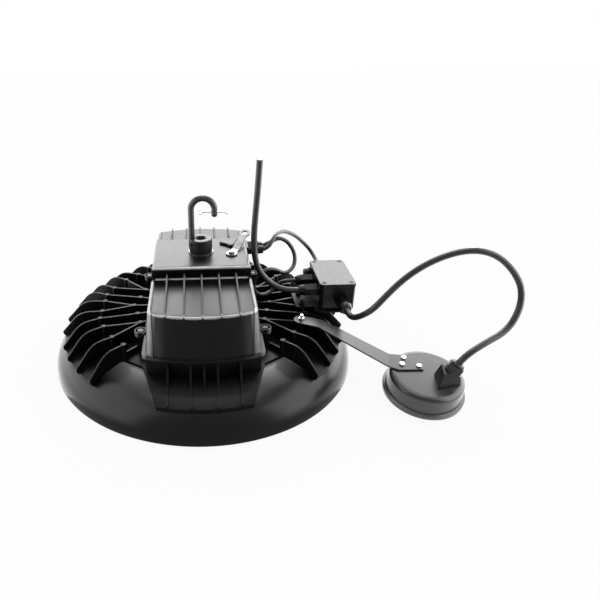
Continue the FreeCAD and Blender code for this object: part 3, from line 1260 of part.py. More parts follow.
def make_junction_box():
    bottom = size(BOX_BOTTOM)
    rim = size("box_top - lid_wall - lid_gasket")
    wall = size("box_wall")
    body = box_slab(bottom, rim - bottom, 0).cut(box_slab(bottom + wall, rim, -wall))
    posts = [Part.makeCylinder(3.5, rim - bottom, V(size(x), size(y), bottom)) for x, y in LID_PLACES]
    body = body.fuse(posts)
    cuts = []
    for x, y in LID_PLACES:
        cuts.append(Part.makeCylinder(size("board_screw + thread_gap"), 14, V(size(x), size(y), rim - 12)))
    for x, y in BOX_SCREWS:
        cuts.append(Part.makeCylinder(size("screw + hole_gap"), 3 * wall,
                                      V(size(x), size(y), bottom - wall)))
    left, z = size("box_left"), size("side_gland_z")
    back = size("box_front + box_depth")
    thread = size("gland_thread + thread_gap")
    for y in ("supply_gland_y", "lead_gland_y"):
        cuts.append(Part.makeCylinder(thread, 2 * wall, V(left - wall / 2, size(y), z), V(1, 0, 0)))
    cuts.append(Part.makeCylinder(size("plug_radius") - 1.4, 2 * wall,
                                  V(left - wall / 2, size("plug_y"), size("plug_z")), V(1, 0, 0)))
    rear = V(size("rear_gland_x"), back - 1.5 * wall, z)
    front = V(size("front_gland_x"), size("box_front") - wall / 2, size("front_gland_z"))
    cuts.append(Part.makeCylinder(thread, 2 * wall, rear, V(0, 1, 0)))
    cuts.append(Part.makeCylinder(size("wide_thread + thread_gap"), 2 * wall, front, V(0, 1, 0)))
    feature("junction_box", body.cut(cuts).removeSplitter())

    gasket = box_slab(rim, size("lid_gasket"), -0.8).cut(box_slab(rim, size("lid_gasket"), -wall))
    feature("lid_gasket", gasket)
    lid_bottom = rim + size("lid_gasket")
    lid = box_slab(lid_bottom, size("lid_wall"), size("lid_overhang"))
    edge = [e for e in lid.Edges if e.BoundBox.ZMin > size("box_top") - 0.01]
    lid = lid.makeFillet(1.2, edge)
    wells = []
    for x, y in LID_PLACES:
        wells.append(Part.makeCylinder(2.9, 3, V(size(x), size(y), size("box_top") - 1.8)))
        wells.append(Part.makeCylinder(size("board_screw + hole_gap"), 10,
                                       V(size(x), size(y), lid_bottom - 2)))
    feature("box_lid", lid.cut(wells).removeSplitter())
    heads = []
    for x, y in LID_PLACES:
        head = Part.makeCylinder(2.7, 1.5, V(size(x), size(y), size("box_top") - 1.8))
        shank = Part.makeCylinder(size("board_screw"), 12, V(size(x), size(y), size("box_top") - 13.8))
        heads.append(head.fuse(shank))
    feature("lid_screws", Part.makeCompound(heads))

    floor = bottom + wall
    middle = V(size(BOX_X), size(BOX_Y), floor)
    block = Part.makeBox(14, 34, 12, middle + V(-7, -17, 0))
    ways = [Part.makeCylinder(1.6, 6, middle + V(0, step * 6.0, 7)) for step in (-2, -1, 0, 1, 2)]
    feature("terminal_block", block.cut(ways))

    pad = Part.makeBox(size("bracket_right - bracket_left"), size("bracket_back - bracket_front"),
                       size("bracket_wall"), V(size("bracket_left"), size("bracket_front"), size("pin_top")))
    tongue = Part.makeBox(size("bracket_left - tongue_end") + 1, 2 * size("tongue_half"),
                          size("bracket_wall"), V(size("tongue_end"), -size("tongue_half"), size("pin_top")))
    plate = pad.fuse(tongue).removeSplitter()
    upright_edges = [e for e in plate.Edges if abs(e.tangentAt(e.FirstParameter).z) > 0.9]
    plate = plate.makeFillet(2.5, upright_edges)
    holes = [Part.makeCylinder(size("screw + hole_gap"), 6, V(size(x), size(y), size("pin_top") - 2))
             for x, y in BRACKET_PLACES]
    holes += [Part.makeCylinder(size("screw + thread_gap"), 6, V(size(x), size(y), size("pin_top") - 2))
              for x, y in BOX_SCREWS]
    feature("box_bracket", plate.cut(holes))
    screws("bracket_bolts", BRACKET_PLACES, BOX_BOTTOM, f"{BOLT_GRIP} + bracket_wall", True)
    screws("box_screws", BOX_SCREWS, f"({BOX_BOTTOM} + box_wall)", "(box_wall + bracket_wall)", True)


# ---------------------------------------------------------------- sensor

SENSOR_BOSSES = circle_of(3, "(sensor_board_radius - 5)", "70")


def sensor_frame():
    """Placement of the sensor: origin in the middle of its top face, Z out of that face."""
    return FreeCAD.Placement(V(size("sensor_x"), size("sensor_y"), size("sensor_z")),
                             FreeCAD.Rotation(V(1, 0, 0), size("sensor_tilt")))


def on_sensor(label, shape):
    """A sub-part made in the sensor's own frame."""
    obj = feature(label, shape)
    obj.Placement = sensor_frame()
    return obj


# In the sensor's frame: the arm's screws, the cable box's screws, and the gland's seat and axis.
ARM_SCREWS = [(-20.6, 25.5), (-25.7, 14.7), (-6.8, 10.9)]
CABLE_SCREWS = [(9.5, -19.0), (24.0, -2.0)]
GLAND_SEAT = (21.5, -10.5, 14.5)
GLAND_AXIS = (0.45, 0.08, 0.89)


def sensor_shell():
    top, foot, depth = size("sensor_radius"), size("sensor_foot"), size("sensor_depth")
    edge, wall, rim = size("sensor_edge"), size("sensor_wall"), size("sensor_rim")
    flare = top + 1.2
    start = V(0, 0, 0)
    arc_start, arc_end = V(top - edge, 0, 0), V(top, 0, -edge)
    arc_middle = V(top - edge + edge * math.sin(math.pi / 4), 0, -edge + edge * math.cos(math.pi / 4))
    corners = [V(flare, 0, -(depth - rim - 1)), V(foot, 0, -(depth - rim)), V(foot, 0, -depth),
               V(foot - wall - 1.5, 0, -depth), V(foot - wall - 1.5, 0, -(depth - 2)),
               V(flare - wall, 0, -(depth - 2)), V(top - wall, 0, -edge - wall),
               V(top - edge - wall, 0, -wall), V(0, 0, -wall)]
    edges = [Part.LineSegment(start, arc_start).toShape(),
             Part.Arc(arc_start, arc_middle, arc_end).toShape()]
    chain = [arc_end] + corners + [start]
    edges += [Part.LineSegment(a, b).toShape() for a, b in zip(chain, chain[1:])]
    return Part.Face(Part.Wire(edges)).revolve(V(), UP, 360)


def make_sensor():
    wall, depth = size("sensor_wall"), size("sensor_depth")
    boss = size("sensor_boss")
    shell = sensor_shell()
    tight, loose = size("board_screw + thread_gap"), size("board_screw + hole_gap")
    inner = [(size(x), size(y)) for x, y in SENSOR_BOSSES]
    bosses = [Part.makeCylinder(3.2, boss + 0.5, V(x, y, -wall - boss)) for x, y in inner]
    pads = [Part.makeCylinder(3, 4, V(x, y, -wall - 3.5)) for x, y in ARM_SCREWS]
    drills = [Part.makeCylinder(tight, 8, V(x, y, -wall - 2.5)) for x, y in ARM_SCREWS]
    drills += [Part.makeCylinder(loose, 8, V(x, y, -wall - 2)) for x, y in CABLE_SCREWS]
    drills += [Part.makeCylinder(tight, boss - 1, V(x, y, -wall - boss - 1)) for x, y in inner]
    drills.append(Part.makeCylinder(4, 4 * wall, V(14, -11, -2 * wall)))
    on_sensor("sensor_housing", shell.fuse(bosses + pads).cut(drills).removeSplitter())

    seat = size("sensor_foot") - wall - 1.5
    on_sensor("sensor_lens", turned_shape([(0, -depth), (seat - 14, -depth), (seat - 0.1, -depth + 1.2),
                                           (seat - 0.1, -depth + 2), (seat - 14, -depth + 2),
                                           (seat - 15, -depth + 5), (0, -depth + 6)]))
    board_top = -wall - boss
    board = Part.makeCylinder(size("sensor_board_radius"), size("sensor_board_wall"),
                              V(0, 0, board_top - size("sensor_board_wall")))
    holes = [Part.makeCylinder(loose, 6, V(x, y, board_top - 4)) for x, y in inner]
    aerial = Part.makeBox(22, 16, 3, V(-11, -8, board_top - size("sensor_board_wall") - 3))
    on_sensor("sensor_board", board.fuse(aerial).cut(holes))
    screws_made = []
    under = board_top - size("sensor_board_wall")
    for x, y in inner:
        head = Part.makeCylinder(2.75, 2, V(x, y, under - 2))
        screws_made.append(head.fuse(Part.makeCylinder(size("board_screw"), 7, V(x, y, under - 1))))
    on_sensor("sensor_board_screws", Part.makeCompound(screws_made))


def make_cable_box():
    height = size("cable_box_height")
    foot = [V(3, -26.5, 0), V(31, -20, 0), V(33, 2, 0), V(8, 0, 0)]
    head = [V(8, -20, height), V(28, -17, height), V(29, -1, height), V(11, -3, height)]
    body = Part.makeLoft([Part.makePolygon(foot + foot[:1]), Part.makePolygon(head + head[:1])], True, True)
    trim = Part.makeCylinder(40, 40)
    trim.Placement = frame_at(GLAND_SEAT, GLAND_AXIS)
    body = body.cut(trim)
    well = Part.makeCylinder(size("sensor_gland_thread + thread_gap"), 8)
    well.Placement = frame_at(GLAND_SEAT, [-value for value in GLAND_AXIS])
    drills = [Part.makeCylinder(size("board_screw + thread_gap"), 8, V(x, y, -1)) for x, y in CABLE_SCREWS]
    on_sensor("cable_box", body.cut([well] + drills))
    made = []
    wall = size("sensor_wall")
    for x, y in CABLE_SCREWS:
        head = Part.makeCylinder(2.7, 1.8, V(x, y, -wall - 1.8))
        made.append(head.fuse(Part.makeCylinder(size("board_screw"), wall + 6.5, V(x, y, -wall - 0.5))))
    on_sensor("cable_box_screws", Part.makeCompound(made))
    shapes = gland_shapes(size("sensor_gland_length"), size("sensor_gland_thread"),
                          size("sensor_gland_nut"), size("sensor_cord_radius"))
    for kind, shape in zip(("body", "nut", "seal"), shapes):
        shape.Placement = frame_at(GLAND_SEAT, GLAND_AXIS)
        on_sensor(f"sensor_gland_{kind}", Part.makeCompound([shape]))


# ---------------------------------------------------------------- sensor arm

# In the sensor's frame: the arm's end plate in plan, from its front bend corner round to its rear one.
ARM_PLATE = [(-43.0, 13.0), (-32.0, 6.0), (-2.9, 5.2), (0.5, 22.0), (-20.0, 31.0), (-36.0, 33.5)]


def make_arm():
    wall, half = size("bracket_wall"), size("arm_half")
    turn = math.radians(size("arm_turn"))
    way, across = V(math.cos(turn), math.sin(turn), 0), V(-math.sin(turn), math.cos(turn), 0)
    bolt = V(size("boss_c_x"), -size("boss_c_y"), size("pin_top"))
    bend = bolt + way * size("arm_flat")
    lift = V(0, 0, wall)
    side = across * half
    flat = prism([bolt - side, bend - side, bend + side, bolt + side], lift)
    flat = flat.fuse(Part.makeCylinder(half, wall, bolt))
    seat = sensor_frame()
    plate = prism([V(x, y, 0) for x, y in ARM_PLATE], lift)
    plate.Placement = seat
    low_front, low_back = (seat.multVec(V(*ARM_PLATE[n], 0)) for n in (0, -1))
    high_front, high_back = (seat.multVec(V(*ARM_PLATE[n], wall)) for n in (0, -1))
    ends = [[bend - side, bend + side, bend + side + lift, bend - side + lift],
            [low_front, low_back, high_back, high_front]]
    slope = Part.makeLoft([Part.makePolygon(end + end[:1]) for end in ends], True, True)
    strip = flat.fuse([slope, plate])
    holes = [Part.makeCylinder(size("screw + hole_gap"), 3 * wall, bolt - lift)]
    for x, y in ARM_SCREWS:
        hole = Part.makeCylinder(size("board_screw + hole_gap"), 3 * wall)
        hole.Placement = seat.multiply(FreeCAD.Placement(V(x, y, -wall), FreeCAD.Rotation()))
        holes.append(hole)
    feature("sensor_arm", strip.cut(holes))
    screws("arm_bolt", [ARM_PLACE], BOX_BOTTOM, f"{BOLT_GRIP} + bracket_wall", True)
    made = []
    for x, y in ARM_SCREWS:
        head = Part.makeCylinder(2.9, 1.9, V(x, y, wall))
        made.append(head.fuse(Part.makeCylinder(size("board_screw"), wall + 5, V(x, y, -4))))
    on_sensor("arm_screws", Part.makeCompound(made))


# ---------------------------------------------------------------- cords

# Each cord's own points, between the straight first and last runs in line with its glands.
SUPPLY_ROUTE = [(96.5, -10.3, 99.3), (83.5, -6.8, 109.3), (73.5, -3.7, 123.5), (69, -1.3, 142),
                (68, 0, 164), (69, 0.5, 190), (71.5, 0, 226), (73, 0, 264)]
DRIVER_ROUTE = [(110, 45.2, 139.1), (122.6, 46.7, 131.4), (128.6, 42.5, 117.5), (124.4, 32.7, 105.1),
                (111.5, 21, 102.1), (95.3, 11, 116.4), (78.5, 5.2, 113.7), (69, 2.9, 101.5),
                (69.7, 4.7, 86), (79.9, 10.3, 75.6), (94, 17, 76), (104.1, 21.7, 87)]
DIMMING_ROUTE = [(108.9, 31.6, 142.1), (118.6, 43.5, 146.2), (127, 60, 145), (138, 74, 139),
                 (148, 89.5, 130.1), (155.9, 98.7, 117.3), (161, 99.3, 108.5), (165.7, 94.9, 100.6)]
SENSOR_ROUTE = [(183, -80.8, 89.9), (187.9, -90.3, 98.8), (198, -95, 113), (212, -96, 129), (228, -96, 145),
                (246, -97, 161), (265, -100, 174), (285, -104, 183), (305, -108, 186), (325, -112, 179),
                (342, -117, 164), (353, -122, 145), (355, -127, 122), (339, -134.4, 99.6),
                (307.1, -145.1, 88.7)]
END_RUNS = {"supply": 16, "lead": 13, "sensor": 13, "sensor_end": 11}


def ahead(at, along, run):
    """A gland's mouth, and the point one straight run beyond it."""
    mouth, way = V(*at), V(*along)
    return mouth, mouth + way.normalize() * END_RUNS[run]


def make_cords():
    left = size("box_left - gland_length")
    side_z = size("side_gland_z")
    supply = ahead((left, size("supply_gland_y"), side_z), (-1, 0, 0), "supply")
    cord("supply_cord", [*supply, *SUPPLY_ROUTE], size("supply_radius"))

    driver_x = size("pad_x + driver_gland_length")
    start = ahead((driver_x, size("gland_b_y"), size("pad_z")), (1, 0, 0), "lead")
    end = ahead((left, size("lead_gland_y"), side_z), (-1, 0, 0), "lead")
    cord("driver_lead", [*start, *DRIVER_ROUTE, *reversed(end)], size("lead_radius"))

    start = ahead((driver_x, size("gland_a_y"), size("pad_z")), (1, 0, 0), "lead")
    rear_mouth = (size("rear_gland_x"), size("box_front + box_depth + gland_length"), side_z)
    end = ahead(rear_mouth, (0, 1, 0), "lead")
    cord("dimming_lead", [*start, *DIMMING_ROUTE, *reversed(end)], size("lead_radius"))

    front_mouth = (size("front_gland_x"), size("box_front - gland_length"), size("front_gland_z"))
    start = ahead(front_mouth, (0, -1, 0), "sensor")
    seat = sensor_frame()
    axis = seat.Rotation.multVec(V(*GLAND_AXIS).normalize())
    end = ahead(seat.multVec(V(*GLAND_SEAT)) + axis * size("sensor_gland_length"), axis, "sensor_end")
    cord("sensor_cord", [*start, *SENSOR_ROUTE, *reversed(end)], size("sensor_cord_radius"))


def write_parts():
    """Recomputes, checks every object and writes one STEP file for each sub-part."""
    doc.recompute()
    for obj in doc.Objects:
        if "Invalid" in obj.State or "Error" in obj.State:
            raise RuntimeError(f"{obj.Label} did not recompute: {obj.State}")
    os.makedirs("parts", exist_ok=True)
    for obj in nodes:
        if obj.Shape.isNull() or not obj.Shape.isValid():
            raise RuntimeError(f"{obj.Label} has no valid shape")
        obj.Shape.exportStep(os.path.join("parts", obj.Label + ".step"))
    print(f"{len(nodes)} sub-parts")


make_reflector()
make_heat_sink()
make_light_engine()
make_housing()
make_driver()
make_suspension()
make_safety_lug()
make_driver_glands()
make_junction_box()
make_box_glands()
make_arm()
make_sensor()
make_cable_box()
make_cords()
write_parts()
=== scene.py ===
import math

import bpy
from mathutils import Matrix, Vector


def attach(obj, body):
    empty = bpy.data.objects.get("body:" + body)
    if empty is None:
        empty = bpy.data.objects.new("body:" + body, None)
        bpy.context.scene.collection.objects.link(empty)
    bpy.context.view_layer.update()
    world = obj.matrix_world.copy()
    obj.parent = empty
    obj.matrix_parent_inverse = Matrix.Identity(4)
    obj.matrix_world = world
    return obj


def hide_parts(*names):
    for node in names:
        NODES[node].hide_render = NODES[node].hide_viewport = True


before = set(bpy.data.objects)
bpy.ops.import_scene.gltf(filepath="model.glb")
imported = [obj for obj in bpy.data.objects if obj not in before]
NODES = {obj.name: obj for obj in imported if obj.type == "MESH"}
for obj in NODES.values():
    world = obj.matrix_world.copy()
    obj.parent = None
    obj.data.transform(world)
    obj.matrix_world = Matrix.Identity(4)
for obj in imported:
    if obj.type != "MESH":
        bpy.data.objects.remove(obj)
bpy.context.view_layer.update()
MM = 0.001

# The camera: pitch, yaw and roll in degrees, place in metres, lens in millimetres and lens shift.
CAMERA_ANGLES = (27.65, 1.19, -0.92)
CAMERA_PLACE = (-0.0018, -0.6521, 0.4195)
CAMERA_LENS = 32.76
CAMERA_SHIFT = (0.1487, -0.0017)

ROOM_COLOR = (0.96, 0.97, 0.98, 1)
ROOM_STRENGTH = 0.95
FLOOR_COLOR = (0.96, 0.96, 0.96, 1)
FLOOR_GLOW_SHARE = 0.9
FLOOR_HALF_WIDTH = 4.0
FLOOR_DROP = 0.0005

# Place, point that it faces, width and height in metres, and radiance of each light.
LIGHTS = {
    "back_softbox": ((0.05, 2.4, 1.1), (0.05, 0, 0.1), 3.4, 0.95, 6),
    "high_softbox": ((0.2, 1.15, 1.05), (0, 0, 0.05), 1.4, 0.8, 9.5),
    "top_softbox": ((0.0, 0.0, 1.8), (0, 0, 0.05), 1.3, 1.3, 6),
    "left_softbox": ((-0.36, 0.0, 0.26), (0, 0, 0.2), 0.9, 0.5, 4),
    "right_softbox": ((0.56, 0.0, 0.32), (0, 0, 0.26), 1.1, 0.6, 7),
    "left_floor_glow": ((-0.38, 0.1, 0.003), (-0.38, 0.1, 1), 0.42, 0.9, 2.1),
    "right_floor_glow": ((0.38, 0.1, 0.003), (0.38, 0.1, 1), 0.42, 0.9, 1.8),
}

# Black paint, dark and light, where it lies thick and whole, and the pale grey painted on as highlights on
# the housing and as a reflection on the bell.
CASTING_BLACK = ((0.0015, 0.0015, 0.0016), (0.003, 0.003, 0.0032))
HOUSING_BLACK = ((0.0015, 0.0015, 0.0016), (0.0028, 0.0028, 0.003))
BELL_BLACK = ((0.001, 0.001, 0.0011), (0.002, 0.002, 0.0022))
# Painted highlight on the housing: its pale colour, how metallic it is, and how much of it the side rails
# take.
PAINTED_HIGHLIGHT = (0.3, 0.3, 0.303, 1)
PAINTED_HIGHLIGHT_METALLIC = 0.35
RAIL_HIGHLIGHT = 0.75
# Pale grey painted on the bell near the hub as a reflection.
PAINTED_REFLECTION = (0.35, 0.35, 0.352, 1)
# Distances from the axis, in metres, between which the painted reflection on the bell thins out.
PAINTED_REFLECTION_EDGE = (0.13, 0.178)


# ---------------------------------------------------------------- camera

def make_camera():
    """The view from the front and above the lamp, with the lamp left of the lens axis."""
    pitch, yaw, roll = (math.radians(angle) for angle in CAMERA_ANGLES)
    forward = Vector((math.sin(yaw) * math.cos(pitch), math.cos(yaw) * math.cos(pitch), -math.sin(pitch)))
    level = Vector((math.cos(yaw), -math.sin(yaw), 0))
    raised = level.cross(forward)
    right = level * math.cos(roll) + raised * math.sin(roll)
    up = raised * math.cos(roll) - level * math.sin(roll)
    data = bpy.data.cameras.new("camera")
    data.sensor_width = 36
    data.lens = CAMERA_LENS
    data.shift_x, data.shift_y = CAMERA_SHIFT
    data.clip_start = 0.01
    camera = bpy.data.objects.new("camera", data)
    camera.matrix_world = Matrix((right, up, -forward)).transposed().to_4x4()
    camera.location = CAMERA_PLACE
    bpy.context.scene.collection.objects.link(camera)
    bpy.context.scene.camera = camera


# ---------------------------------------------------------------- materials

class Nodes:
    """A small helper that adds shader nodes and wires them up."""

    def __init__(self, name):
        self.material = bpy.data.materials.new(name)
        self.material.use_nodes = True
        self.tree = self.material.node_tree
        self.tree.nodes.clear()
        self.out = self.add("ShaderNodeOutputMaterial")
        self.shader = self.add("ShaderNodeBsdfPrincipled")
        self.link(self.shader.outputs[0], self.out.inputs["Surface"])

    def add(self, kind, **settings):
        node = self.tree.nodes.new(kind)
        for key, value in settings.items():
            setattr(node, key, value)
        return node

    def link(self, source, target):
        self.tree.links.new(source, target)

    def set(self, **values):
        for key, value in values.items():
            self.shader.inputs[key.replace("_", " ")].default_value = value

    def point(self):
        return self.add("ShaderNodeTexCoord").outputs["Object"]

    def noise(self, scale, detail, stretch=None):
        """Noise over the surface, with its scale per metre."""
        noise = self.add("ShaderNodeTexNoise")
        noise.inputs["Scale"].default_value = scale
        noise.inputs["Detail"].default_value = detail
        vector = self.point()
        if stretch:
            mapping = self.add("ShaderNodeMapping")
            mapping.inputs["Scale"].default_value = stretch
            self.link(vector, mapping.inputs["Vector"])
            vector = mapping.outputs["Vector"]
        self.link(vector, noise.inputs["Vector"])
        return noise.outputs["Fac"]

    def radius(self):
        """Distance from the lamp's axis."""
        split = self.add("ShaderNodeSeparateXYZ")
        self.link(self.point(), split.inputs[0])
        join = self.add("ShaderNodeCombineXYZ")
        self.link(split.outputs["X"], join.inputs["X"])
        self.link(split.outputs["Y"], join.inputs["Y"])
        length = self.add("ShaderNodeVectorMath", operation="LENGTH")
        self.link(join.outputs[0], length.inputs[0])
        return length.outputs["Value"]

    def rings(self, scale):
        """Noise that depends only on the distance from the lamp's axis: turned or spun lines."""
        noise = self.add("ShaderNodeTexNoise", noise_dimensions="1D")
        noise.inputs["Scale"].default_value = scale
        noise.inputs["Detail"].default_value = 2.0
        self.link(self.radius(), noise.inputs["W"])
        return noise.outputs["Fac"]

    def span(self, source, low, high, from_low=0.3, from_high=0.7):
        """A value spread from one range to another."""
        node = self.add("ShaderNodeMapRange")
        node.inputs["From Min"].default_value = from_low
        node.inputs["From Max"].default_value = from_high
        node.inputs["To Min"].default_value = low
        node.inputs["To Max"].default_value = high
        self.link(source, node.inputs["Value"])
        return node.outputs["Result"]

    def mix(self, source, one, two):
        """A colour between two, led by a value."""
        node = self.add("ShaderNodeMix", data_type="RGBA")
        node.inputs[6].default_value = (*one, 1)
        node.inputs[7].default_value = (*two, 1)
        self.link(self.span(source, 0, 1), node.inputs[0])
        return node.outputs[2]

    def cover(self, share, under, over):
        """A plain colour laid over another, as far as the share says."""
        node = self.add("ShaderNodeMix", data_type="RGBA")
        self.link(share, node.inputs[0])
        self.link(under, node.inputs[6])
        node.inputs[7].default_value = over
        return node.outputs[2]

    def math(self, operation, first, second=None):
        """One operation on a value, or on a value and another value or number."""
        node = self.add("ShaderNodeMath", operation=operation)
        self.link(first, node.inputs[0])
        if isinstance(second, (int, float)):
            node.inputs[1].default_value = second
        elif second:
            self.link(second, node.inputs[1])
        return node.outputs[0]

    def edge(self, radius):
        """The normal as if sharp edges were rounded to a radius, in metres."""
        bevel = self.add("ShaderNodeBevel", samples=4)
        bevel.inputs["Radius"].default_value = radius
        return bevel.outputs["Normal"]

    def bump(self, height, depth, normal=None):
        """Relief of a depth in metres."""
        bump = self.add("ShaderNodeBump")
        bump.inputs["Distance"].default_value = depth
        bump.inputs["Strength"].default_value = 1.0
        self.link(height, bump.inputs["Height"])
        if normal:
            self.link(normal, bump.inputs["Normal"])
        return bump.outputs["Normal"]

    def finish(self, color, rough, normal):
        for source, key in ((color, "Base Color"), (rough, "Roughness"), (normal, "Normal")):
            if source:
                self.link(source, self.shader.inputs[key])
        return self.material


def coated(name, dark, light, rough, grain, depth, spec, edge=0.0006):
    """Paint or powder coat on cast or sheet metal: cloudy colour, orange peel and soft edges."""
    m = Nodes(name)
    m.set(Specular_IOR_Level=spec)
    color = m.mix(m.noise(45, 4), dark, light)
    roughness = m.span(m.noise(130, 5), rough[0], rough[1])
    fine = m.bump(m.noise(grain, 2), depth, m.edge(edge))
    return m.finish(color, roughness, fine)


def highlighted_coat():
    """The housing: black paint, with pale painted highlights on the faces that tilt up and on the rounded
    side rails of the casting.
    """
    m = Nodes("housing_coat")
    m.set(Specular_IOR_Level=0.11)
    split = m.add("ShaderNodeSeparateXYZ")
    m.link(m.add("ShaderNodeTexCoord").outputs["Normal"], split.inputs[0])
    slope = split.outputs["Z"]
    # Painted highlight: faces that tilt up, short of flat, and the rounded side rails are painted pale where
    # the softboxes would catch them.
    rise = m.math("MULTIPLY", m.span(slope, 0, 1, 0.22, 0.5), m.span(slope, 1, 0, 0.9, 0.985))
    side = m.math("ABSOLUTE", split.outputs["X"])
    front = m.math("ABSOLUTE", split.outputs["Y"])
    rail = m.math("MULTIPLY", m.span(side, 0, 1, 0.25, 0.75), m.span(front, 0, 1, 0.12, 0.4))
    highlight_share = m.math("MAXIMUM", rise, m.math("MULTIPLY", rail, RAIL_HIGHLIGHT))
    highlight_share = m.math("MULTIPLY", highlight_share, m.span(m.noise(60, 4), 0.8, 1.0))
    # The painted highlight laid over the black, and made partly metallic.
    color = m.cover(highlight_share, m.mix(m.noise(45, 4), *HOUSING_BLACK), PAINTED_HIGHLIGHT)
    m.link(m.math("MULTIPLY", highlight_share, PAINTED_HIGHLIGHT_METALLIC), m.shader.inputs["Metallic"])
    fine = m.bump(m.noise(1300, 2), 0.000006, m.edge(0.0009))
    return m.finish(color, m.span(m.noise(130, 5), 0.33, 0.37), fine)


def metal(name, dark, light, rough, stretch=(1, 1, 1)):
    """Bare or plated metal, with fine grain that a stretch turns into brushing."""
    m = Nodes(name)
    m.set(Metallic=1.0)
    color = m.mix(m.noise(160, 4), dark, light)
    roughness = m.span(m.noise(900, 3, stretch), rough[0], rough[1])
    return m.finish(color, roughness, m.bump(m.noise(2500, 2, stretch), 0.00001, m.edge(0.0002)))


def plastic(name, dark, light, rough, grain=2200, depth=0.00002, edge=0.0004, spec=0.5):
    """Moulded plastic or rubber, with a fine grain."""
    m = Nodes(name)
    m.set(Specular_IOR_Level=spec)
    color = m.mix(m.noise(70, 3), dark, light)
    roughness = m.span(m.noise(260, 4), rough[0], rough[1])
    return m.finish(color, roughness, m.bump(m.noise(grain, 2), depth, m.edge(edge)))


def spun_lacquer():
    """The bell: black lacquer over spun sheet, with faint turning lines and a pale painted reflection near
    the hub.
    """
    m = Nodes("spun_lacquer")
    m.set(Specular_IOR_Level=0.14)
    # Painted reflection: pale grey near the hub, fading outward.
    hub_reflection = m.span(m.radius(), 1, 0, *PAINTED_REFLECTION_EDGE)
    hub_reflection = m.math("MULTIPLY", hub_reflection, hub_reflection)
    color = m.cover(hub_reflection, m.mix(m.noise(30, 4), *BELL_BLACK), PAINTED_REFLECTION)
    roughness = m.span(m.noise(22, 4), 0.27, 0.31)
    lines = m.bump(m.rings(420), 0.00002)
    return m.finish(color, roughness, m.bump(m.noise(1400, 2), 0.000003, lines))


def clear_lens():
    m = Nodes("clear_lens")
    m.set(Transmission_Weight=1.0, IOR=1.58, Base_Color=(0.95, 0.97, 0.98, 1))
    roughness = m.span(m.noise(90, 3), 0.02, 0.07)
    return m.finish(None, roughness, m.bump(m.noise(500, 2), 0.00001, m.edge(0.0005)))


def phosphor():
    m = Nodes("phosphor")
    color = m.mix(m.noise(2500, 2), (0.75, 0.55, 0.06), (0.9, 0.72, 0.15))
    return m.finish(color, m.span(m.noise(900, 2), 0.25, 0.4), m.bump(m.noise(3000, 1), 0.00002))


def make_materials():
    return {
        "bell": spun_lacquer(),
        "casting": coated("casting_coat", *CASTING_BLACK, (0.3, 0.4), 1500, 0.00002, spec=0.06),
        "housing": highlighted_coat(),
        "arm": coated("arm_coat", (0.014, 0.014, 0.0143), (0.022, 0.022, 0.0225), (0.3, 0.38), 1600, 0.00001,
                      spec=0.3),
        "sensor": coated("sensor_coat", (0.008, 0.008, 0.0083), (0.013, 0.013, 0.0134), (0.28, 0.34),
                         1200, 0.000006, spec=0.3, edge=0.0008),
        "dark_steel": coated("dark_steel", (0.006, 0.006, 0.006), (0.012, 0.012, 0.012), (0.3, 0.42),
                             1800, 0.00001, spec=0.15, edge=0.0005),
        "zinc": metal("zinc_steel", (0.52, 0.52, 0.53), (0.68, 0.68, 0.69), (0.25, 0.42)),
        "black_steel": coated("black_steel", (0.002, 0.002, 0.002), (0.005, 0.005, 0.005), (0.35, 0.45),
                              1800, 0.00001, spec=0.06, edge=0.0005),
        "dull_zinc": metal("dull_zinc", (0.07, 0.07, 0.072), (0.12, 0.12, 0.123), (0.3, 0.45)),
        "hook_steel": coated("hook_steel", (0.014, 0.014, 0.0142), (0.024, 0.024, 0.0243), (0.25, 0.36),
                             1800, 0.00001, spec=0.3, edge=0.0005),
        "bright": metal("bright_steel", (0.42, 0.42, 0.425), (0.52, 0.52, 0.525), (0.16, 0.28)),
        "plastic": plastic("black_plastic", (0.003, 0.003, 0.0032), (0.007, 0.007, 0.0072), (0.24, 0.3),
                           grain=900, depth=0.0000001, spec=0.105),
        "seal": plastic("seal_rubber", (0.02, 0.02, 0.02), (0.035, 0.035, 0.035), (0.6, 0.75)),
        "grommet": plastic("grommet_rubber", (0.012, 0.012, 0.012), (0.02, 0.02, 0.02), (0.55, 0.7)),
        "jacket": plastic("cord_jacket", (0.006, 0.006, 0.0062), (0.01, 0.01, 0.0102), (0.34, 0.42),
                          grain=900, depth=0.000002, edge=0.0001, spec=0.26),
        "lens": clear_lens(),
        "board": plastic("white_board", (0.72, 0.73, 0.72), (0.8, 0.81, 0.8), (0.3, 0.42)),
        "phosphor": phosphor(),
        "driver": metal("driver_case", (0.6, 0.61, 0.62), (0.72, 0.73, 0.74), (0.35, 0.5), (1, 30, 30)),
        "terminal": plastic("terminal_plastic", (0.42, 0.42, 0.4), (0.5, 0.5, 0.48), (0.45, 0.6)),
        "milky": plastic("sensor_window", (0.66, 0.66, 0.63), (0.76, 0.76, 0.74), (0.4, 0.55)),
        "circuit": plastic("circuit_board", (0.01, 0.1, 0.04), (0.02, 0.16, 0.06), (0.3, 0.45)),
    }


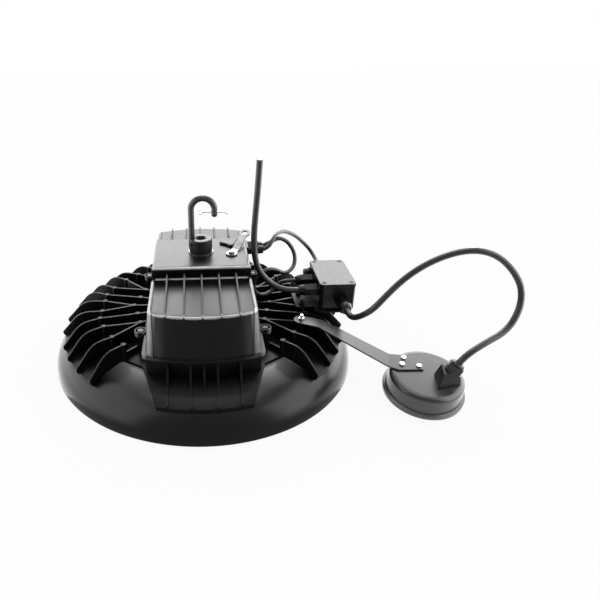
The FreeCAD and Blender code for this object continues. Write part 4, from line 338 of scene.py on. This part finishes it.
# Which material each CAD node takes.
FINISH = {
    "bell": ["reflector"],
    "casting": ["heat_sink"],
    "housing": ["driver_housing"],
    "arm": ["sensor_arm"],
    "sensor": ["sensor_housing"],
    "dark_steel": ["hook_block", "hook_set_screw", "safety_clip", "lens_ring", "housing_screws"],
    "black_steel": ["box_bracket", "bracket_bolts", "lid_screws"],
    "hook_steel": ["hook"],
    "zinc": ["led_board_screws", "ring_screws", "driver_standoffs", "driver_screws",
             "hook_bolt", "hook_nut", "hook_split_pin", "box_screws", "sensor_board_screws",
             "cable_box_screws"],
    "bright": ["arm_bolt", "arm_screws"],
    "dull_zinc": ["hook_washer", "safety_lug", "lug_screw"],
    "plastic": ["box_gland_bodies", "sensor_gland_body", "driver_gland_bodies", "driver_gland_nuts",
                "junction_box", "box_lid", "box_gland_nuts", "blanking_plug", "cable_box",
                "sensor_gland_nut"],
    "seal": ["lens_gasket", "housing_gasket", "lid_gasket", "driver_gland_seals", "box_gland_seals",
             "sensor_gland_seal"],
    "grommet": ["wire_grommet"],
    "jacket": ["supply_cord", "driver_lead", "dimming_lead", "sensor_cord"],
    "lens": ["lens_cover"],
    "board": ["led_board"],
    "phosphor": ["led_chips"],
    "driver": ["led_driver"],
    "terminal": ["terminal_block"],
    "milky": ["sensor_lens"],
    "circuit": ["sensor_board"],
}


def dress(obj, material):
    obj.data.materials.clear()
    obj.data.materials.append(material)


def dress_nodes(materials):
    for key, names in FINISH.items():
        for name in names:
            dress(NODES[name], materials[key])


def add_piece(name, data, material):
    """A new piece of the lamp, with its material and the record's slot."""
    obj = bpy.data.objects.new(name, data)
    bpy.context.scene.collection.objects.link(obj)
    obj.data.materials.append(material)
    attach(obj, "root")
    return obj


# ---------------------------------------------------------------- cords

# Each cord's route in millimetres, from the gland where it leaves the lamp.
ROUTES = {
    "supply_cord": [(128, -12, 94), (112, -12, 94), (96.5, -10.3, 99.3), (83.5, -6.8, 109.3),
                    (73.5, -3.7, 123.5), (69, -1.3, 142), (68, 0, 164), (69, 0.5, 190), (71.5, 0, 226),
                    (73, 0, 264)],
    "driver_lead": [(83.5, 41.5, 136.5), (95, 42, 141), (108, 47, 146), (122, 48, 137.5),
                    (131, 43, 121), (128, 33, 106), (113, 21, 102.1), (95.3, 11, 116.4),
                    (78.5, 5.2, 113.7), (69, 2.9, 101.5), (69.7, 4.7, 86), (79.9, 10.3, 75.6),
                    (94, 17, 76), (104.1, 21.7, 87), (115, 18, 94), (128, 18, 94)],
    "dimming_lead": [(83.5, 28, 136.5), (91, 28, 139.5), (97, 33, 148), (103, 44, 152),
                     (113, 58, 150.5), (124.5, 73, 143), (138, 86.5, 132), (150, 97, 119),
                     (160.5, 99.3, 108), (165.7, 94.9, 100.6), (170, 84, 94), (170, 71, 94)],
    "sensor_cord": [(181, -55, 86), (181, -67.2, 86), (182.6, -80.6, 89.3), (187.2, -92.3, 97.6),
                    (197.3, -101.8, 111.2), (211.1, -101.1, 129.2), (228, -96.5, 145.5), (246, -97, 161.5),
                    (265, -100, 174.5), (285.5, -104, 183.5), (305.5, -108, 186), (325.5, -112, 179.5),
                    (342.5, -117, 164), (353.8, -121.9, 144.8), (354.2, -127.5, 122), (342, -134.5, 98.5),
                    (311, -144, 86.5), (292.8, -148.2, 75.1), (287.9, -147.5, 65.3)],
}
# Diameter and length in metres, what the far end goes to, and how the cord behaves.
CORDS = {
    "supply_cord": (0.008, 0.208, "bare", "medium", "taut"),
    "driver_lead": (0.0055, 0.23, "object", "limp", "loose"),
    "dimming_lead": (0.0055, 0.163, "object", "limp", "loose"),
    "sensor_cord": (0.0075, 0.374, "object", "medium", "loose"),
}


def route_curve(name, points, diameter):
    """A round jacket along a smooth curve, cut square at both ends."""
    curve = bpy.data.curves.new(name, "CURVE")
    curve.dimensions = "3D"
    spline = curve.splines.new("NURBS")
    spline.points.add(len(points) - 1)
    for target, point in zip(spline.points, points):
        target.co = (*(value * MM for value in point), 1)
    spline.order_u = 3
    spline.use_endpoint_u = True
    spline.resolution_u = 12
    curve.bevel_depth = diameter / 2
    curve.bevel_resolution = 6
    curve.use_fill_caps = True
    return curve


def make_cords(materials):
    for name, points in ROUTES.items():
        diameter, length, far_end, stiffness, lay = CORDS[name]
        curve = route_curve(name, points, diameter)
        cord = add_piece(f"{name}_jacket", curve, materials["jacket"])
        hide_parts(name)


# ---------------------------------------------------------------- studio

def background_rays(tree):
    """One for camera, glossy and transmission rays, nought for the rest."""
    path = tree.nodes.new("ShaderNodeLightPath")
    total = path.outputs["Is Camera Ray"]
    for kind in ("Is Glossy Ray", "Is Transmission Ray"):
        most = tree.nodes.new("ShaderNodeMath")
        most.operation = "MAXIMUM"
        tree.links.new(total, most.inputs[0])
        tree.links.new(path.outputs[kind], most.inputs[1])
        total = most.outputs[0]
    return total


def make_world():
    world = bpy.data.worlds.new("studio")
    world.use_nodes = True
    tree = world.node_tree
    tree.nodes.clear()
    out = tree.nodes.new("ShaderNodeOutputWorld")
    mix = tree.nodes.new("ShaderNodeMixShader")
    room = tree.nodes.new("ShaderNodeBackground")
    room.inputs["Color"].default_value = ROOM_COLOR
    room.inputs["Strength"].default_value = ROOM_STRENGTH
    white = tree.nodes.new("ShaderNodeBackground")
    white.inputs["Color"].default_value = (1, 1, 1, 1)
    white.inputs["Strength"].default_value = 1.0
    tree.links.new(background_rays(tree), mix.inputs["Fac"])
    tree.links.new(room.outputs[0], mix.inputs[1])
    tree.links.new(white.outputs[0], mix.inputs[2])
    tree.links.new(mix.outputs[0], out.inputs["Surface"])
    bpy.context.scene.world = world


def make_floor():
    half = FLOOR_HALF_WIDTH
    corners = [(-half, -half, 0), (half, -half, 0), (half, half, 0), (-half, half, 0)]
    mesh = bpy.data.meshes.new("floor")
    mesh.from_pydata(corners, [], [(0, 1, 2, 3)])
    floor = bpy.data.objects.new("floor", mesh)
    floor.location.z = -FLOOR_DROP
    bpy.context.scene.collection.objects.link(floor)
    material = bpy.data.materials.new("pale_floor")
    material.use_nodes = True
    tree = material.node_tree
    tree.nodes.clear()
    out = tree.nodes.new("ShaderNodeOutputMaterial")
    paper = tree.nodes.new("ShaderNodeBsdfDiffuse")
    paper.inputs["Color"].default_value = FLOOR_COLOR
    glow = tree.nodes.new("ShaderNodeEmission")
    glow.inputs["Strength"].default_value = 1.0
    share = tree.nodes.new("ShaderNodeMath")
    share.operation = "MULTIPLY"
    share.inputs[1].default_value = FLOOR_GLOW_SHARE
    mix = tree.nodes.new("ShaderNodeMixShader")
    tree.links.new(background_rays(tree), share.inputs[0])
    tree.links.new(share.outputs[0], mix.inputs["Fac"])
    tree.links.new(paper.outputs[0], mix.inputs[1])
    tree.links.new(glow.outputs[0], mix.inputs[2])
    tree.links.new(mix.outputs[0], out.inputs["Surface"])
    mesh.materials.append(material)


def area_light(name, place, aim, width, height, power):
    data = bpy.data.lights.new(name, "AREA")
    data.shape = "RECTANGLE"
    data.size = width
    data.size_y = height
    data.energy = power
    light = bpy.data.objects.new(name, data)
    light.location = place
    light.rotation_euler = (Vector(aim) - Vector(place)).to_track_quat("-Z", "Y").to_euler()
    bpy.context.scene.collection.objects.link(light)
    return light


def make_lights():
    """Softboxes that show only as highlights: the world gives the plain level."""
    for name, (place, aim, width, height, radiance) in LIGHTS.items():
        light = area_light(name, place, aim, width, height, radiance * math.pi * width * height)
        light.visible_diffuse = False
        light.visible_camera = False


materials = make_materials()
make_camera()
make_cords(materials)
dress_nodes(materials)
make_world()
make_floor()
make_lights()

scene = bpy.context.scene
scene.view_settings.view_transform = "Standard"
